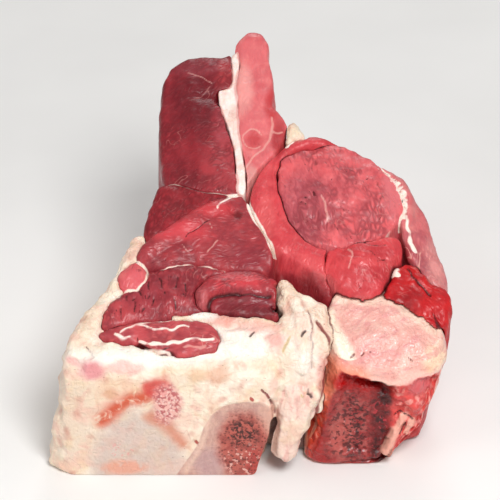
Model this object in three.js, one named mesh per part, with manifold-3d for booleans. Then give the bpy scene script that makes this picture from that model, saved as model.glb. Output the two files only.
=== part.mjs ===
// A bone-in cut of camel, as a butcher saws it from a leg joint, in millimetres.
// +Z is up and +Y goes towards the back. Two bones with fat and tendon between them make the front.
// Behind them the muscles stand upright, side by side, from the flat sawn underside up to the cut face,
// which slopes up from the bones to the back.
import * as THREE from "three";
import { mergeVertices } from "three/addons/utils/BufferGeometryUtils.js";
import Module from "manifold-3d";

const wasm = await Module();
wasm.setup();

// Driving dimensions
const FRONT_HEIGHT = 48; // the cut face above the board, over the bones' front
const FACE_SLOPE = 0.466; // rise of the cut face for each millimetre towards the back
const SEAM_GAP = 0.35; // what the thin membrane between two neighbours takes up
const FOOT_ROUND = 1.6; // rounding round the underside
const SLUMP_FROM = 50; // behind this line of the plan the soft meat has settled outwards at the foot
const SLUMP_BACK = 0.07; // how far, for each millimetre behind that line
const HEADROOM = 3; // how far a neighbour's cut goes on above a muscle, so that none hangs over it
const SMALLEST_SCRAP = 1e-3; // corners closer than this are one corner
const FLAT_ENOUGH = 0.06; // facets this near to one plane are joined, well under the seam gap
const WALL_LEVELS = [0.33, 0.67]; // rings in a bundle's side, as shares of its height
const BRIM_ROUND = 0.3; // where the rounding of a bundle's brim passes, as a share of its edge
const CROWN_RINGS = [[0.66, 0.6], [0.3, 1]]; // each ring's share of the outline and of the crown's height

// Where the cut face is at a place of the plan: a slope with the low swells of cut meat.
function cutFace(x, y) {
  const swell = 0.7 * Math.sin(x / 13 + 0.6) * Math.cos(y / 17) + 0.4 * Math.sin(y / 9 - x / 21);
  return FRONT_HEIGHT + FACE_SLOPE * y + swell;
}

// A closed smooth outline through a few corners of the plan, as evenly spaced points,
// anticlockwise from above.
function smoothOutline(corners, count) {
  const bends = corners.map(([x, y]) => new THREE.Vector3(x, y, 0));
  if (THREE.ShapeUtils.isClockWise(bends)) bends.reverse();
  return new THREE.CatmullRomCurve3(bends, true, "centripetal").getSpacedPoints(count).slice(1);
}

// The same corners at the foot: soft meat has settled outwards at the back, and some pieces lean.
function footOf(corners, [leanX, leanY]) {
  return corners.map(([x, y]) => [x + leanX, y + leanY + SLUMP_BACK * Math.max(0, y - SLUMP_FROM)]);
}

// An outline moved outwards all round.
function swollen(outline, distance) {
  return outline.map((point, i) => {
    const before = outline.at(i - 1);
    const after = outline[(i + 1) % outline.length];
    const outwards = new THREE.Vector3(after.y - before.y, before.x - after.x, 0).normalize();
    return point.clone().addScaledVector(outwards, distance);
  });
}

// An outline drawn in towards its middle by an inset at its sides, then to a share of its size.
function drawnIn(outline, inset, share) {
  const extent = new THREE.Box3().setFromPoints(outline);
  const middle = extent.getCenter(new THREE.Vector3());
  const half = extent.getSize(new THREE.Vector3()).multiplyScalar(0.5);
  const scale = new THREE.Vector3(share * (1 - inset / half.x), share * (1 - inset / half.y), 1);
  return outline.map((point) => point.clone().sub(middle).multiply(scale).add(middle));
}

// A closed surface through stacked rings of equally many points, with its two ends filled.
function lofted(rings) {
  const count = rings[0].length;
  const corners = [];
  for (let level = 0; level + 1 < rings.length; level += 1) {
    for (let i = 0; i < count; i += 1) {
      const [a, b] = [level * count + i, level * count + ((i + 1) % count)];
      corners.push(a, b, b + count, a, b + count, a + count);
    }
  }
  const fill = (ring, first, upwards) => {
    for (const face of THREE.ShapeUtils.triangulateShape(ring, [])) {
      const anticlockwise = !THREE.ShapeUtils.isClockWise(face.map((i) => ring[i]));
      if (anticlockwise !== upwards) face.reverse();
      corners.push(...face.map((i) => first + i));
    }
  };
  fill(rings[0], 0, false);
  fill(rings.at(-1), (rings.length - 1) * count, true);
  return new THREE.BufferGeometry().setFromPoints(rings.flat()).setIndex(corners);
}

// An upright bundle: the foot outline grows into the face outline, and the top is a low crown on
// the cut face.
// grow makes it larger all round, which is how its neighbours are cut to fit against it.
// To the right of fallFrom the top falls away from the cut face, as a loose edge does.
function column(shape, grow = 0) {
  const { face, lean = [0, 0], foot = footOf(face, lean), around = 24, base = 0 } = shape;
  const { lift = 0, crown = 1.5, edge = 2.2 } = shape;
  const { bulge = 0.8, morph = 1, top = cutFace, headroom = HEADROOM } = shape;
  const { fall = 0, fallFrom = 0 } = shape;
  const faceLine = smoothOutline(face, around);
  const footLine = smoothOutline(foot, around);
  const raised = lift + (headroom > 0 ? 0 : grow);
  const topAt = (point) => top(point.x, point.y) - fall * Math.max(0, point.x - fallFrom) + raised;
  const outlineAt = (share) => {
    const blend = Math.pow(share, morph);
    const between = footLine.map((point, i) => point.clone().lerp(faceLine[i], blend));
    return swollen(between, bulge * Math.sin(Math.PI * share) + grow);
  };
  const floor = base - grow;
  const level = (outline, height) => outline.map((point) => point.clone().setZ(height));
  const under = (outline, drop) => outline.map((point) => point.clone().setZ(topAt(point) - drop));
  const wall = (share) => {
    const low = floor + FOOT_ROUND;
    return outlineAt(share).map((point) => point.setZ(low + (topAt(point) - edge - low) * share));
  };
  const brim = outlineAt(1);
  const rings = [
    level(drawnIn(outlineAt(0), FOOT_ROUND, 1), floor),
    level(outlineAt(0), floor + FOOT_ROUND),
    ...WALL_LEVELS.map(wall),
    under(brim, edge),
  ];
  if (grow > 0 && headroom > 0) return solid(lofted([...rings, under(brim, -headroom)]));
  rings.push(under(drawnIn(brim, BRIM_ROUND * edge, 1), BRIM_ROUND * edge));
  rings.push(under(drawnIn(brim, edge, 1), 0));
  if (crown > 0) {
    for (const [share, rise] of CROWN_RINGS) rings.push(under(drawnIn(brim, edge, share), -rise * crown));
  }
  return solid(lofted(rings));
}

// A closed three.js geometry as a solid that can be joined and cut.
function solid(geometry) {
  const bare = geometry.clone();
  bare.deleteAttribute("normal");
  bare.deleteAttribute("uv");
  const merged = mergeVertices(bare, SMALLEST_SCRAP);
  const corners = merged.index.array;
  const kept = [];
  for (let i = 0; i < corners.length; i += 3) {
    const [a, b, c] = [corners[i], corners[i + 1], corners[i + 2]];
    if (a !== b && b !== c && c !== a) kept.push(a, b, c);
  }
  const positions = merged.attributes.position.array;
  return new wasm.Manifold(
    new wasm.Mesh({ numProp: 3, vertProperties: positions, triVerts: new Uint32Array(kept) }),
  );
}

// A box from its lowest and highest corner.
function block(low, high) {
  const size = high.map((value, axis) => value - low[axis]);
  const box = new THREE.BoxGeometry(...size);
  return solid(box.translate(...low.map((value, axis) => value + size[axis] / 2)));
}

// The plan of each piece, corner by corner, where it meets the cut face. The foot is the same
// outline unless given.
const SHANK = {
  face: [[-34, 117], [-34, 97], [-32, 76], [-28, 68], [-19, 64], [-4.5, 61], [-4, 80], [-5.5, 112],
    [-5.5, 127], [-19, 127.5], [-31, 123]],
  around: 28, crown: 2.4, edge: 3,
};
const LONG_STRIP = {
  face: [[-5.5, 130], [-2, 135], [2, 136.5], [6.5, 133], [7.5, 123], [9.5, 112], [8.5, 103], [14, 97],
    [12.5, 88], [4, 77.5], [-3, 69], [-5.5, 95]],
  around: 28, lift: 1.2, crown: 0,
};
const SIDE = {
  face: [[-34, 71.5], [-37.5, 61], [-39.5, 52], [-36, 46], [-26, 47], [-6, 60], [-6, 66], [-20, 68.5],
    [-27, 71.5]],
  crown: 0,
};
const WEDGE = {
  face: [[-3.5, 67], [-17, 60.5], [-29, 53], [-40.5, 44.5], [-40, 39], [-32, 38], [-21, 40], [-4, 36.5],
    [5, 36], [8.5, 41], [4.5, 54]],
  around: 28, lift: 0.6,
};
const LOWER = {
  face: [[-35, 39], [-44, 30], [-49, 27.5], [-54, 19], [-53, 14], [-43, 17], [-22, 21], [1, 26], [2, 36],
    [-14, 40]],
  around: 26,
};
const FOLD = {
  face: [[-20, 29], [-16.5, 34], [-7, 37], [5, 36.5], [12, 31.5], [14.5, 24.5], [12, 19], [-8, 20.5],
    [-18.5, 23.5]],
  lift: 1, crown: 1.6,
};
const EDGE = {
  face: [[-42, 41], [-48, 36.5], [-47.5, 30.5], [-43, 29.5], [-38, 33], [-38.5, 39.5]],
  around: 18, lift: 0.3, crown: 1,
};
const STRIP_IN_FAT = {
  face: [[-55, 13], [-50.5, 10.5], [-41.5, 9.5], [-37, 6.5], [-17, 5.8], [-10.5, 9], [-12.5, 15.5],
    [-22, 18.5], [-34, 18.5], [-46, 16.5]],
  base: 42, lift: 0.1, crown: 0.5, edge: 1.2, bulge: 0.3,
};
const EYE = {
  face: [[21, 83.5], [12, 79.5], [10.5, 70], [16, 52], [24, 45], [34, 43.5], [49, 47.5], [56.5, 60],
    [50.5, 75], [39, 84.5], [29, 86]],
  around: 28, lift: 3, crown: 3, edge: 3,
};
const LOBE = {
  face: [[29, 44], [27.5, 36], [31, 29.5], [41, 25.5], [47, 27], [51, 35], [56, 42], [54, 48], [42, 48],
    [34, 45]],
  around: 22, lift: 2.8, crown: 2.2, edge: 3.4,
};
// This one leans back over the ligament: lower down it reaches further to the front.
const WRAP = {
  face: [[22, 90], [13, 86], [1.5, 71], [1, 61], [9, 45], [19, 37.5], [34, 30.5], [46, 38], [53, 60],
    [45, 77], [35, 87]],
  foot: [[22, 93], [13, 88.5], [1.5, 72.5], [1, 62], [7, 43], [13, 30.5], [31, 23], [45, 36], [53, 61],
    [45, 79], [35, 89.5]],
  around: 28, lift: 3, crown: 0.4, edge: 3.6, bulge: 1.2, morph: 4,
};
const FLANK = {
  face: [[46, 79], [53, 75], [58, 66], [56.5, 53], [61, 40], [70, 31], [73, 38], [68, 55], [61, 69],
    [53, 78]],
  lean: [-7, 3], lift: 0.6, crown: 1, fall: 0.45, fallFrom: 58,
};
const TRIMMING = {
  face: [[46, 27], [50, 35], [56, 41], [64, 39], [72.5, 30], [73, 20], [67, 15], [58, 19]],
  lean: [-9.5, 4], around: 22, lift: -0.5, crown: 2.2, edge: 3,
};
const FASCIA = {
  face: [[-6.6, 128], [-4.9, 128], [-4.7, 108], [-3.6, 88], [-1.8, 74], [-2, 66], [-4.4, 66], [-5.4, 84],
    [-8.8, 97], [-12.3, 107], [-11.8, 110.5], [-7.4, 111.5]],
  around: 28, lift: 0.6, crown: 0, edge: 0.5, bulge: 0,
};
const FAT_BEAD = {
  face: [[13.5, 96], [16.5, 98.5], [19.5, 94], [21, 88], [15, 87.5], [12.5, 91]],
  around: 14, lift: 1, crown: 1, bulge: 0.2,
};
const JOINT_BLOCK = {
  face: [[-58, 4], [-54, 1.5], [-30, 1], [-5, 3], [8, 8], [9, 30], [-54, 32], [-58, 26]],
  foot: [[-64, 3.5], [-60, -0.2], [-34, -0.8], [-8, 0.8], [2, 6], [3, 30], [-60, 32], [-64, 26]],
  around: 30, top: () => 42, crown: 0.5, edge: 2.5, bulge: 0.6, headroom: 0,
};
const KNUCKLE = {
  face: [[29, 8], [34, 3], [54, 2], [65, 4], [71.5, 14], [66, 26], [50, 33], [33, 33], [27.5, 22]],
  foot: [[21, 9], [25, 5.5], [38, 5], [48, 6], [52, 14], [48, 27], [38, 32], [26, 31], [20.5, 20]],
  around: 28, morph: 0.55, lift: -1.5, crown: 2, edge: 6.5, bulge: 1.5, headroom: 0,
};
const LIGAMENT_TOP = {
  face: [[5, 9], [9, 4], [16, 2.5], [25.5, 4.5], [29.5, 13], [29, 22.5], [18.5, 28.5], [11.5, 36],
    [10.5, 29], [12, 20], [8, 14]],
  around: 24, base: 24, lift: 0.4, crown: 1, edge: 3, bulge: 0.5,
};
const LIGAMENT_FOOT = {
  face: [[7, 17], [14, 15], [23, 15], [28, 18], [27, 25], [17, 28], [9, 27], [6, 22]],
  around: 20, top: () => 34, crown: 0, edge: 2, headroom: 0,
};
const FAT_COVER = {
  face: [[-67, 3], [-60, 0], [-35, -0.5], [2, 1], [12, 5], [13, 18], [0, 30], [-30, 34], [-36, 52],
    [-41, 53.5], [-46.5, 46], [-49, 39], [-57, 28], [-64, 18]],
  foot: [[-74, 4.5], [-68, 0.3], [-42, 0.5], [-6, 2.5], [1, 8], [2, 18], [-6, 29], [-32, 36], [-37, 54],
    [-44, 55], [-51, 46], [-54, 40], [-63, 28], [-71, 17]],
  around: 36, morph: 0.8, lift: -0.4, crown: 0, edge: 5.5,
};

// The outer fat: a layer thinner than a finger over the lower left side and back of the upright muscles.
const OUTER_FAT_THICKNESS = 4.5;
const OUTER_FAT_HEIGHT = 46;
const OUTER_FAT_LINE = [[-44, 46], [-38.5, 60], [-36.5, 74], [-37, 92], [-36.5, 112], [-32, 127],
  [-22, 134]];
const OUTER_FAT_STEPS = 16;
// The section's corners, as shares of its height and of half its thickness.
const OUTER_FAT_SECTION = [[0, -1], [0, 1], [0.8, 1], [1, 0.2], [0.9, -0.8]];
function outerFat(grow = 0) {
  const path = new THREE.CatmullRomCurve3(OUTER_FAT_LINE.map(([x, y]) => new THREE.Vector3(x, y, 0)));
  const half = OUTER_FAT_THICKNESS / 2 + grow;
  const height = OUTER_FAT_HEIGHT + grow;
  const section = OUTER_FAT_SECTION.map(([up, out]) => new THREE.Vector2(-up * height, out * half));
  const wall = new THREE.Shape(section);
  return solid(new THREE.ExtrudeGeometry(wall, { steps: OUTER_FAT_STEPS, extrudePath: path }));
}

// The tendon's free end hangs between the bones: a rounded tongue, flattened and leaning to one side.
const TENDON = {
  radius: 6, halfLength: 16, sides: 16, flatten: 0.76, lean: 0.27, slope: -0.13, tip: [11.2, -0.4, 7],
  profile: [[0, 0], [3, 0.7], [4.5, 2.5], [5, 5.5], [5.3, 10], [5.8, 16], [6.6, 23], [6.8, 31], [0, 32]],
};
function tendon(grow = 0) {
  const { radius, halfLength } = TENDON;
  const profile = TENDON.profile.map(([reach, height]) => new THREE.Vector2(reach, height));
  const across = (radius + grow) / radius;
  const along = (halfLength + grow) / halfLength;
  const bulb = new THREE.LatheGeometry(profile, TENDON.sides).rotateX(Math.PI / 2);
  bulb.translate(0, 0, -halfLength).scale(across, across, along).translate(0, 0, halfLength);
  bulb.scale(1, TENDON.flatten, 1).rotateX(TENDON.slope).rotateY(TENDON.lean);
  return solid(bulb.translate(...TENDON.tip));
}

// The shaft bone ends in the right of the joint block: its sawn end, seen from the front, under a
// rounded shoulder.
const SHAFT_END = [[-26, 0], [-21.5, 7.5], [-18, 14], [-16, 21], [-13.5, 26.5], [-9, 30.5], [-2, 32.5],
  [4, 32.3], [8, 29.5], [6.6, 19], [4, 10], [1.8, 0]];
const SHAFT_LENGTH = 30;
const SHAFT_FRONT = -0.7;
function shaftBone(grow = 0) {
  const outline = new THREE.Shape(SHAFT_END.map(([x, z]) => new THREE.Vector2(x, z)));
  const bevel = { bevelSize: grow, bevelThickness: grow, bevelSegments: 1, bevelEnabled: grow > 0 };
  const bar = new THREE.ExtrudeGeometry(outline, { depth: SHAFT_LENGTH, steps: 1, ...bevel });
  return solid(bar.rotateX(Math.PI / 2).translate(0, SHAFT_LENGTH + SHAFT_FRONT, 0));
}

// The marrow shows in a shallow hollow of the knuckle's sawn front, under the lip of its cap.
const MARROW = { centre: [42.5, 2, 21], half: [17.5, 4.6, 19.5], facets: [18, 12] };
function marrowHollow() {
  const round = new THREE.SphereGeometry(1, ...MARROW.facets);
  return solid(round.scale(...MARROW.half).translate(...MARROW.centre));
}

function ligament(grow = 0) {
  return column(LIGAMENT_TOP, grow).add(column(LIGAMENT_FOOT, grow));
}

// The block's front shows below the fat, so the fat stops above it and beside it.
const FRONT_WINDOW = [[-58, -6, -2], [26, 3.4, 38]];
function fatCover(grow = 0) {
  return column(FAT_COVER, grow).subtract(block(...FRONT_WINDOW));
}

const COLOURS = {
  bone: 0xe8d3bf, cartilage: 0xf3c3b8, fat: 0xf6ead4, tendon: 0xf5dccb, dark: 0x8c3037, lean: 0xb5535a,
  bright: 0xd05f63, pale: 0xe0857f,
};
const ROUGHNESS = 0.45;

// Each piece with its colour. A piece is cut back from every piece above it in this list, so those
// keep their form.
const PIECES = [
  ["shaft_bone", "bone", shaftBone],
  ["joint_block", "bone", (grow) => column(JOINT_BLOCK, grow)],
  ["knuckle_bone", "cartilage", (grow) => column(KNUCKLE, grow)],
  ["tendon_end", "tendon", tendon],
  ["ligament", "tendon", ligament],
  ["strip_in_fat", "bright", (grow) => column(STRIP_IN_FAT, grow)],
  ["eye_muscle", "lean", (grow) => column(EYE, grow)],
  ["lobe_muscle", "bright", (grow) => column(LOBE, grow)],
  ["wrap_muscle", "bright", (grow) => column(WRAP, grow)],
  ["fold_muscle", "bright", (grow) => column(FOLD, grow)],
  ["wedge_muscle", "lean", (grow) => column(WEDGE, grow)],
  ["edge_muscle", "pale", (grow) => column(EDGE, grow)],
  ["fascia_plate", "fat", (grow) => column(FASCIA, grow)],
  ["lower_muscle", "lean", (grow) => column(LOWER, grow)],
  ["side_muscle", "lean", (grow) => column(SIDE, grow)],
  ["long_strip", "pale", (grow) => column(LONG_STRIP, grow)],
  ["shank_muscle", "dark", (grow) => column(SHANK, grow)],
  ["flank_muscle", "pale", (grow) => column(FLANK, grow)],
  ["trimming", "bright", (grow) => column(TRIMMING, grow)],
  ["fat_bead", "fat", (grow) => column(FAT_BEAD, grow)],
  ["fat_cover", "fat", fatCover],
  ["outer_fat", "fat", outerFat],
];

function meshOf(name, colour, shape) {
  const { numProp, vertProperties, triVerts } = shape.getMesh();
  const geometry = new THREE.BufferGeometry();
  geometry.setAttribute("position", new THREE.BufferAttribute(vertProperties, numProp));
  geometry.setIndex(new THREE.BufferAttribute(triVerts, 1));
  geometry.computeVertexNormals();
  const look = { color: COLOURS[colour], roughness: ROUGHNESS, metalness: 0 };
  const material = new THREE.MeshStandardMaterial(look);
  const mesh = new THREE.Mesh(geometry, material);
  mesh.name = name;
  return mesh;
}

const cut = new THREE.Group();
const taken = [];
for (const [name, colour, make] of PIECES) {
  let shape = make(0);
  for (const neighbour of taken) shape = shape.subtract(neighbour);
  if (name === "knuckle_bone") shape = shape.subtract(marrowHollow());
  taken.push(make(SEAM_GAP));
  const kept = shape.simplify(FLAT_ENOUGH).decompose().sort((a, b) => b.volume() - a.volume())[0];
  cut.add(meshOf(name, colour, kept));
}

// The frame: the origin is under the middle of the cut, on the board.
const extent = new THREE.Box3().setFromObject(cut);
const middle = extent.getCenter(new THREE.Vector3());
cut.position.set(-middle.x, -middle.y, -extent.min.z);

export default cut;
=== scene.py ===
# %% [markdown]
# A bone-in cut of camel: raw muscle, fat, tendon and sawn bone.
# Meat is hard to model because nothing on it is regular, yet every part has its own grain.
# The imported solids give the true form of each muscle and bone. This script keeps that form and gives
# each one a fine wet surface: denser meshes, soft relief, seams that close, and layered materials.

# %% Load the frame
import math
from collections import namedtuple

import bmesh
import bpy
import numpy as np
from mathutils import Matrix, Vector
from mathutils.bvhtree import BVHTree


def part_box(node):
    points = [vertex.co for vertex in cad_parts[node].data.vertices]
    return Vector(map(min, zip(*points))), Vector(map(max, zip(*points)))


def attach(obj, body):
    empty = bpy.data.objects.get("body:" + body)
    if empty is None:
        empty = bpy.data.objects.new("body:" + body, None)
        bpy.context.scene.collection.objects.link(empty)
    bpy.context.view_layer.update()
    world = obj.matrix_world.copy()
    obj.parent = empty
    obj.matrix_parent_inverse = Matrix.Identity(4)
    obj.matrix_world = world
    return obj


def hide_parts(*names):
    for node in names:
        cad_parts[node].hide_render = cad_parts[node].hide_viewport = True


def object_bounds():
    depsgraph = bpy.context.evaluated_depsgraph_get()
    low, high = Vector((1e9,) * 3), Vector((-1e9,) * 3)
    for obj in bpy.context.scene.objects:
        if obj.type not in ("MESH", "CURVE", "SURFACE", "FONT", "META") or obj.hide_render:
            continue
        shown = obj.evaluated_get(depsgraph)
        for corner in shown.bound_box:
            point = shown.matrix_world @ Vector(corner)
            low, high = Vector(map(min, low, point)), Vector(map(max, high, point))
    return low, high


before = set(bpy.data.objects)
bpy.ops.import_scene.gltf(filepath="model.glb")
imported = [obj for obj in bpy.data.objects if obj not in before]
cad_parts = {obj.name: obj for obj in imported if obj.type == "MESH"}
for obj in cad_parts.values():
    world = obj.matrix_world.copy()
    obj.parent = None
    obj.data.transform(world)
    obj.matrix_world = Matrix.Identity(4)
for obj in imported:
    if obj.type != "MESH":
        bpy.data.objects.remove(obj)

cad_low, cad_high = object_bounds()
print(len(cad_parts), "solids loaded")

# %% [markdown]
# Everything is in metres, but meat is easier to think about in millimetres. Places on the cut are given
# in its plan: x to the right, y backwards from the front of the bones, z up. The frame has its origin
# under the middle of the cut instead, so the plan's own origin is found from the sawn shaft bone, whose
# left corner lies 26 mm left of the plan's origin and whose front stands 0.7 mm before it.

# %% Units and the plan's origin
MM = 0.001
SHAFT_LEFT_MM = -26.0
SHAFT_FRONT_MM = -0.7
shaft_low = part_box("shaft_bone")[0] / MM
PLAN_ORIGIN = np.array([shaft_low.x - SHAFT_LEFT_MM, shaft_low.y - SHAFT_FRONT_MM, 0.0])
print("CAD box in mm:", [round((b - a) / MM, 1) for a, b in zip(cad_low, cad_high)])
print("plan origin in the frame, mm:", PLAN_ORIGIN.round(2))

# %% [markdown]
# The camera looks down at 32 degrees from straight in front, as the photograph does. A long lens about
# a metre away keeps the upright sides almost parallel. The lens follows from how much of the cut the
# picture takes in: 184.5 mm at the distance of the aim point, which sits in the middle of the cut face.

# %% Camera
ELEVATION = math.radians(32)
CAMERA_DISTANCE = 1000 * MM
PICTURE_WIDTH = 184.5 * MM
SENSOR = 36.0
AIM_IN_PLAN = np.array([0.0, 45.3, 69.1])
aim = Vector((AIM_IN_PLAN + PLAN_ORIGIN) * MM)
camera_data = bpy.data.cameras.new("camera")
camera_data.sensor_width = SENSOR
camera_data.lens = SENSOR * CAMERA_DISTANCE / PICTURE_WIDTH
camera_data.clip_start = 0.05
camera = bpy.data.objects.new("camera", camera_data)
bpy.context.scene.collection.objects.link(camera)
towards = Vector((0, math.cos(ELEVATION), -math.sin(ELEVATION)))
camera.location = aim - CAMERA_DISTANCE * towards
camera.rotation_euler = towards.to_track_quat("-Z", "Y").to_euler()
bpy.context.scene.camera = camera
print("lens in mm:", round(camera_data.lens, 1))

# %% [markdown]
# Wet meat shows its form mostly by broad soft highlights, so the lights are large. One window-like
# light stands above and in front, a weaker one fills from the left, and a third gives the back an edge.
# The world is white, and the floor is a pale sheet that catches the shadow.

# %% Light and floor
NEARLY_WHITE = (1.0, 0.99, 0.98, 1)
WORLD_STRENGTH = 0.34
FLOOR_HALF = 1.5
FLOOR_DROP = 0.2 * MM
scene = bpy.context.scene
scene.view_settings.view_transform = "Standard"
scene.world = bpy.data.worlds.new("studio")
scene.world.use_nodes = True
scene.world.node_tree.nodes["Background"].inputs["Color"].default_value = NEARLY_WHITE
scene.world.node_tree.nodes["Background"].inputs["Strength"].default_value = WORLD_STRENGTH


def soft_light(name, place, size, power):
    data = bpy.data.lights.new(name, "AREA")
    data.shape = "DISK"
    data.size = size
    data.energy = power
    light = bpy.data.objects.new(name, data)
    scene.collection.objects.link(light)
    light.location = place
    light.rotation_euler = (aim - Vector(place)).to_track_quat("-Z", "Y").to_euler()
    return light


soft_light("key", place=(0.18, -0.52, 0.66), size=0.3, power=5.2)
soft_light("fill", place=(-0.6, -0.4, 0.4), size=0.5, power=1.0)
soft_light("rim", place=(0.1, 0.7, 0.6), size=0.4, power=1.6)

floor_mesh = bpy.data.meshes.new("floor")
corners = [(-FLOOR_HALF, -FLOOR_HALF, 0), (FLOOR_HALF, -FLOOR_HALF, 0), (FLOOR_HALF, FLOOR_HALF, 0),
           (-FLOOR_HALF, FLOOR_HALF, 0)]
floor_mesh.from_pydata(corners, [], [(0, 1, 2, 3)])
floor = bpy.data.objects.new("floor", floor_mesh)
floor.location.z = -FLOOR_DROP
scene.collection.objects.link(floor)
print(len(bpy.data.lights), "lights and a floor")


# %% [markdown]
# A material is a graph of nodes. One small function adds a node with its settings and its inputs; an
# input is either a number or the socket that feeds it. Colours are picked as sRGB hex, as a screen
# shows them, while the shader wants linear light, so one function turns the one into the other.

# %% Material helpers
def linear(hex_colour):
    """An sRGB hex colour as linear RGBA."""
    parts = [int(hex_colour[i:i + 2], 16) / 255 for i in (1, 3, 5)]
    return (*[c / 12.92 if c <= 0.04045 else ((c + 0.055) / 1.055) ** 2.4 for c in parts], 1.0)


def add(material, kind, settings=None, inputs=None):
    """Adds a node with its settings; each input is a value or the socket to link."""
    node = material.node_tree.nodes.new("ShaderNode" + kind)
    for name, value in (settings or {}).items():
        setattr(node, name, value)
    for key, value in (inputs or {}).items():
        if isinstance(value, bpy.types.NodeSocket):
            material.node_tree.links.new(value, node.inputs[key])
        else:
            node.inputs[key].default_value = value
    return node


def blank(name):
    """A material with an empty graph."""
    material = bpy.data.materials.new(name)
    material.use_nodes = True
    material.node_tree.nodes.clear()
    return material


# %% [markdown]
# Most of the look of meat is patches: deeper and paler, wetter and drier, at several sizes. A patch mask
# is a noise of a real size in millimetres, cut to a range. Fibres are the same noise drawn longer along
# the way they run. A hairline is where the noise passes its middle value, which gives fine wandering
# threads. Paint is then put on in layers, each with its mask and strength, like glazes. A tint is a
# glaze in one known place, with uneven edges. At last a film of juice makes every colour deeper, as a
# wet stone is darker than a dry one, and a gamma above 1 does just that.

# %% Patterns and layers
EASED = {"interpolation_type": "SMOOTHSTEP"}
SPOT_WAVE_MM = 6.0
Tint = namedtuple("Tint", "centre half strength colour")


def place(material, longer=(1, 1, 1), turn=(0, 0, 0)):
    """Object coordinates for a pattern that is turned and drawn so many times longer along each axis."""
    inputs = {"Vector": add(material, "TexCoord").outputs["Object"], "Rotation": turn, "Scale": longer}
    return add(material, "Mapping", {"vector_type": "TEXTURE"}, inputs).outputs[0]


def wavering(material, where, size_mm, amount_mm):
    """Coordinates pushed about by noise, so that even patterns waver."""
    noise = add(material, "TexNoise", {}, {"Vector": where, "Scale": 1 / (size_mm * MM)}).outputs["Color"]
    push = add(material, "VectorMath", {"operation": "SUBTRACT"}, {0: noise, 1: (0.5, 0.5, 0.5)}).outputs[0]
    inputs = {0: push, 1: (2 * amount_mm * MM,) * 3, 2: where}
    return add(material, "VectorMath", {"operation": "MULTIPLY_ADD"}, inputs).outputs[0]


def patches(material, size_mm, low, high, where, detail=3.0, warp=0.0):
    """A mask of soft patches of a real size: 0 below low, 1 above high."""
    inputs = {"Vector": where, "Scale": 1 / (size_mm * MM), "Detail": detail, "Distortion": warp}
    noise = add(material, "TexNoise", {}, inputs).outputs["Fac"]
    return add(material, "MapRange", EASED, {"Value": noise, "From Min": low, "From Max": high}).outputs[0]


def hairlines(material, size_mm, width, where):
    """A mask of fine wandering threads, where a noise of a real size passes its middle."""
    inputs = {"Vector": where, "Scale": 1 / (size_mm * MM), "Detail": 1.5, "Distortion": 0.6}
    noise = add(material, "TexNoise", {}, inputs).outputs["Fac"]
    off_middle = add(material, "Math", {"operation": "SUBTRACT"}, {0: noise, 1: 0.5}).outputs[0]
    away = add(material, "Math", {"operation": "ABSOLUTE"}, {0: off_middle}).outputs[0]
    return add(material, "MapRange", EASED, {"Value": away, "From Min": width, "From Max": 0.0}).outputs[0]


def spot(material, centre, half, soft=0.4, waver_mm=2.0):
    """A mask of one uneven place: an ellipsoid round a point of the plan, with its half sizes in mm."""
    where = wavering(material, place(material), SPOT_WAVE_MM, waver_mm)
    middle = tuple((np.array(centre) + PLAN_ORIGIN) * MM)
    from_middle = add(material, "VectorMath", {"operation": "SUBTRACT"}, {0: where, 1: middle}).outputs[0]
    inputs = {0: from_middle, 1: tuple(np.array(half) * MM)}
    counted = add(material, "VectorMath", {"operation": "DIVIDE"}, inputs).outputs[0]
    away = add(material, "VectorMath", {"operation": "LENGTH"}, {0: counted}).outputs["Value"]
    inputs = {"Value": away, "From Min": 1 + soft, "From Max": 1 - soft}
    return add(material, "MapRange", EASED, inputs).outputs[0]


def tints(material, group):
    """One glaze for each tint of a group."""
    return [(spot(material, tint.centre, tint.half), tint.strength, tint.colour) for tint in group]


def carried(material, name, full, none):
    """A mask from a number that the mesh carries: 1 at full, 0 at none."""
    value = add(material, "Attribute", {"attribute_name": name}).outputs["Fac"]
    return add(material, "MapRange", EASED, {"Value": value, "From Min": none, "From Max": full}).outputs[0]


def paint(material, base, layers):
    """Lays glazes over a base, each as (mask, strength, colour). A tuple of masks counts where all are."""
    colour = linear(base) if isinstance(base, str) else base
    for masks, strength, over in layers:
        amount = strength
        for mask in masks if isinstance(masks, tuple) else (masks,):
            amount = add(material, "Math", {"operation": "MULTIPLY"}, {0: mask, 1: amount}).outputs[0]
        inputs = {0: amount, 6: colour, 7: linear(over) if isinstance(over, str) else over}
        colour = add(material, "Mix", {"data_type": "RGBA"}, inputs).outputs[2]
    return colour


def finish(material, colour, height, depth_mm, roughness, shader, wet=1.0):
    """The surface: its colour, deeper where it is wet, its fine relief and how it takes light."""
    deeper = add(material, "Gamma", {}, {"Color": colour, "Gamma": wet}).outputs[0]
    bump_inputs = {"Height": height, "Distance": depth_mm * MM, "Strength": 1.0}
    bump = add(material, "Bump", {}, bump_inputs).outputs[0]
    inputs = {"Base Color": deeper, "Roughness": roughness, "Normal": bump, "Coat Normal": bump, **shader}
    surface = add(material, "BsdfPrincipled", {"subsurface_method": "RANDOM_WALK"}, inputs)
    add(material, "OutputMaterial", {}, {"Surface": surface.outputs[0]})
    return material
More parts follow.
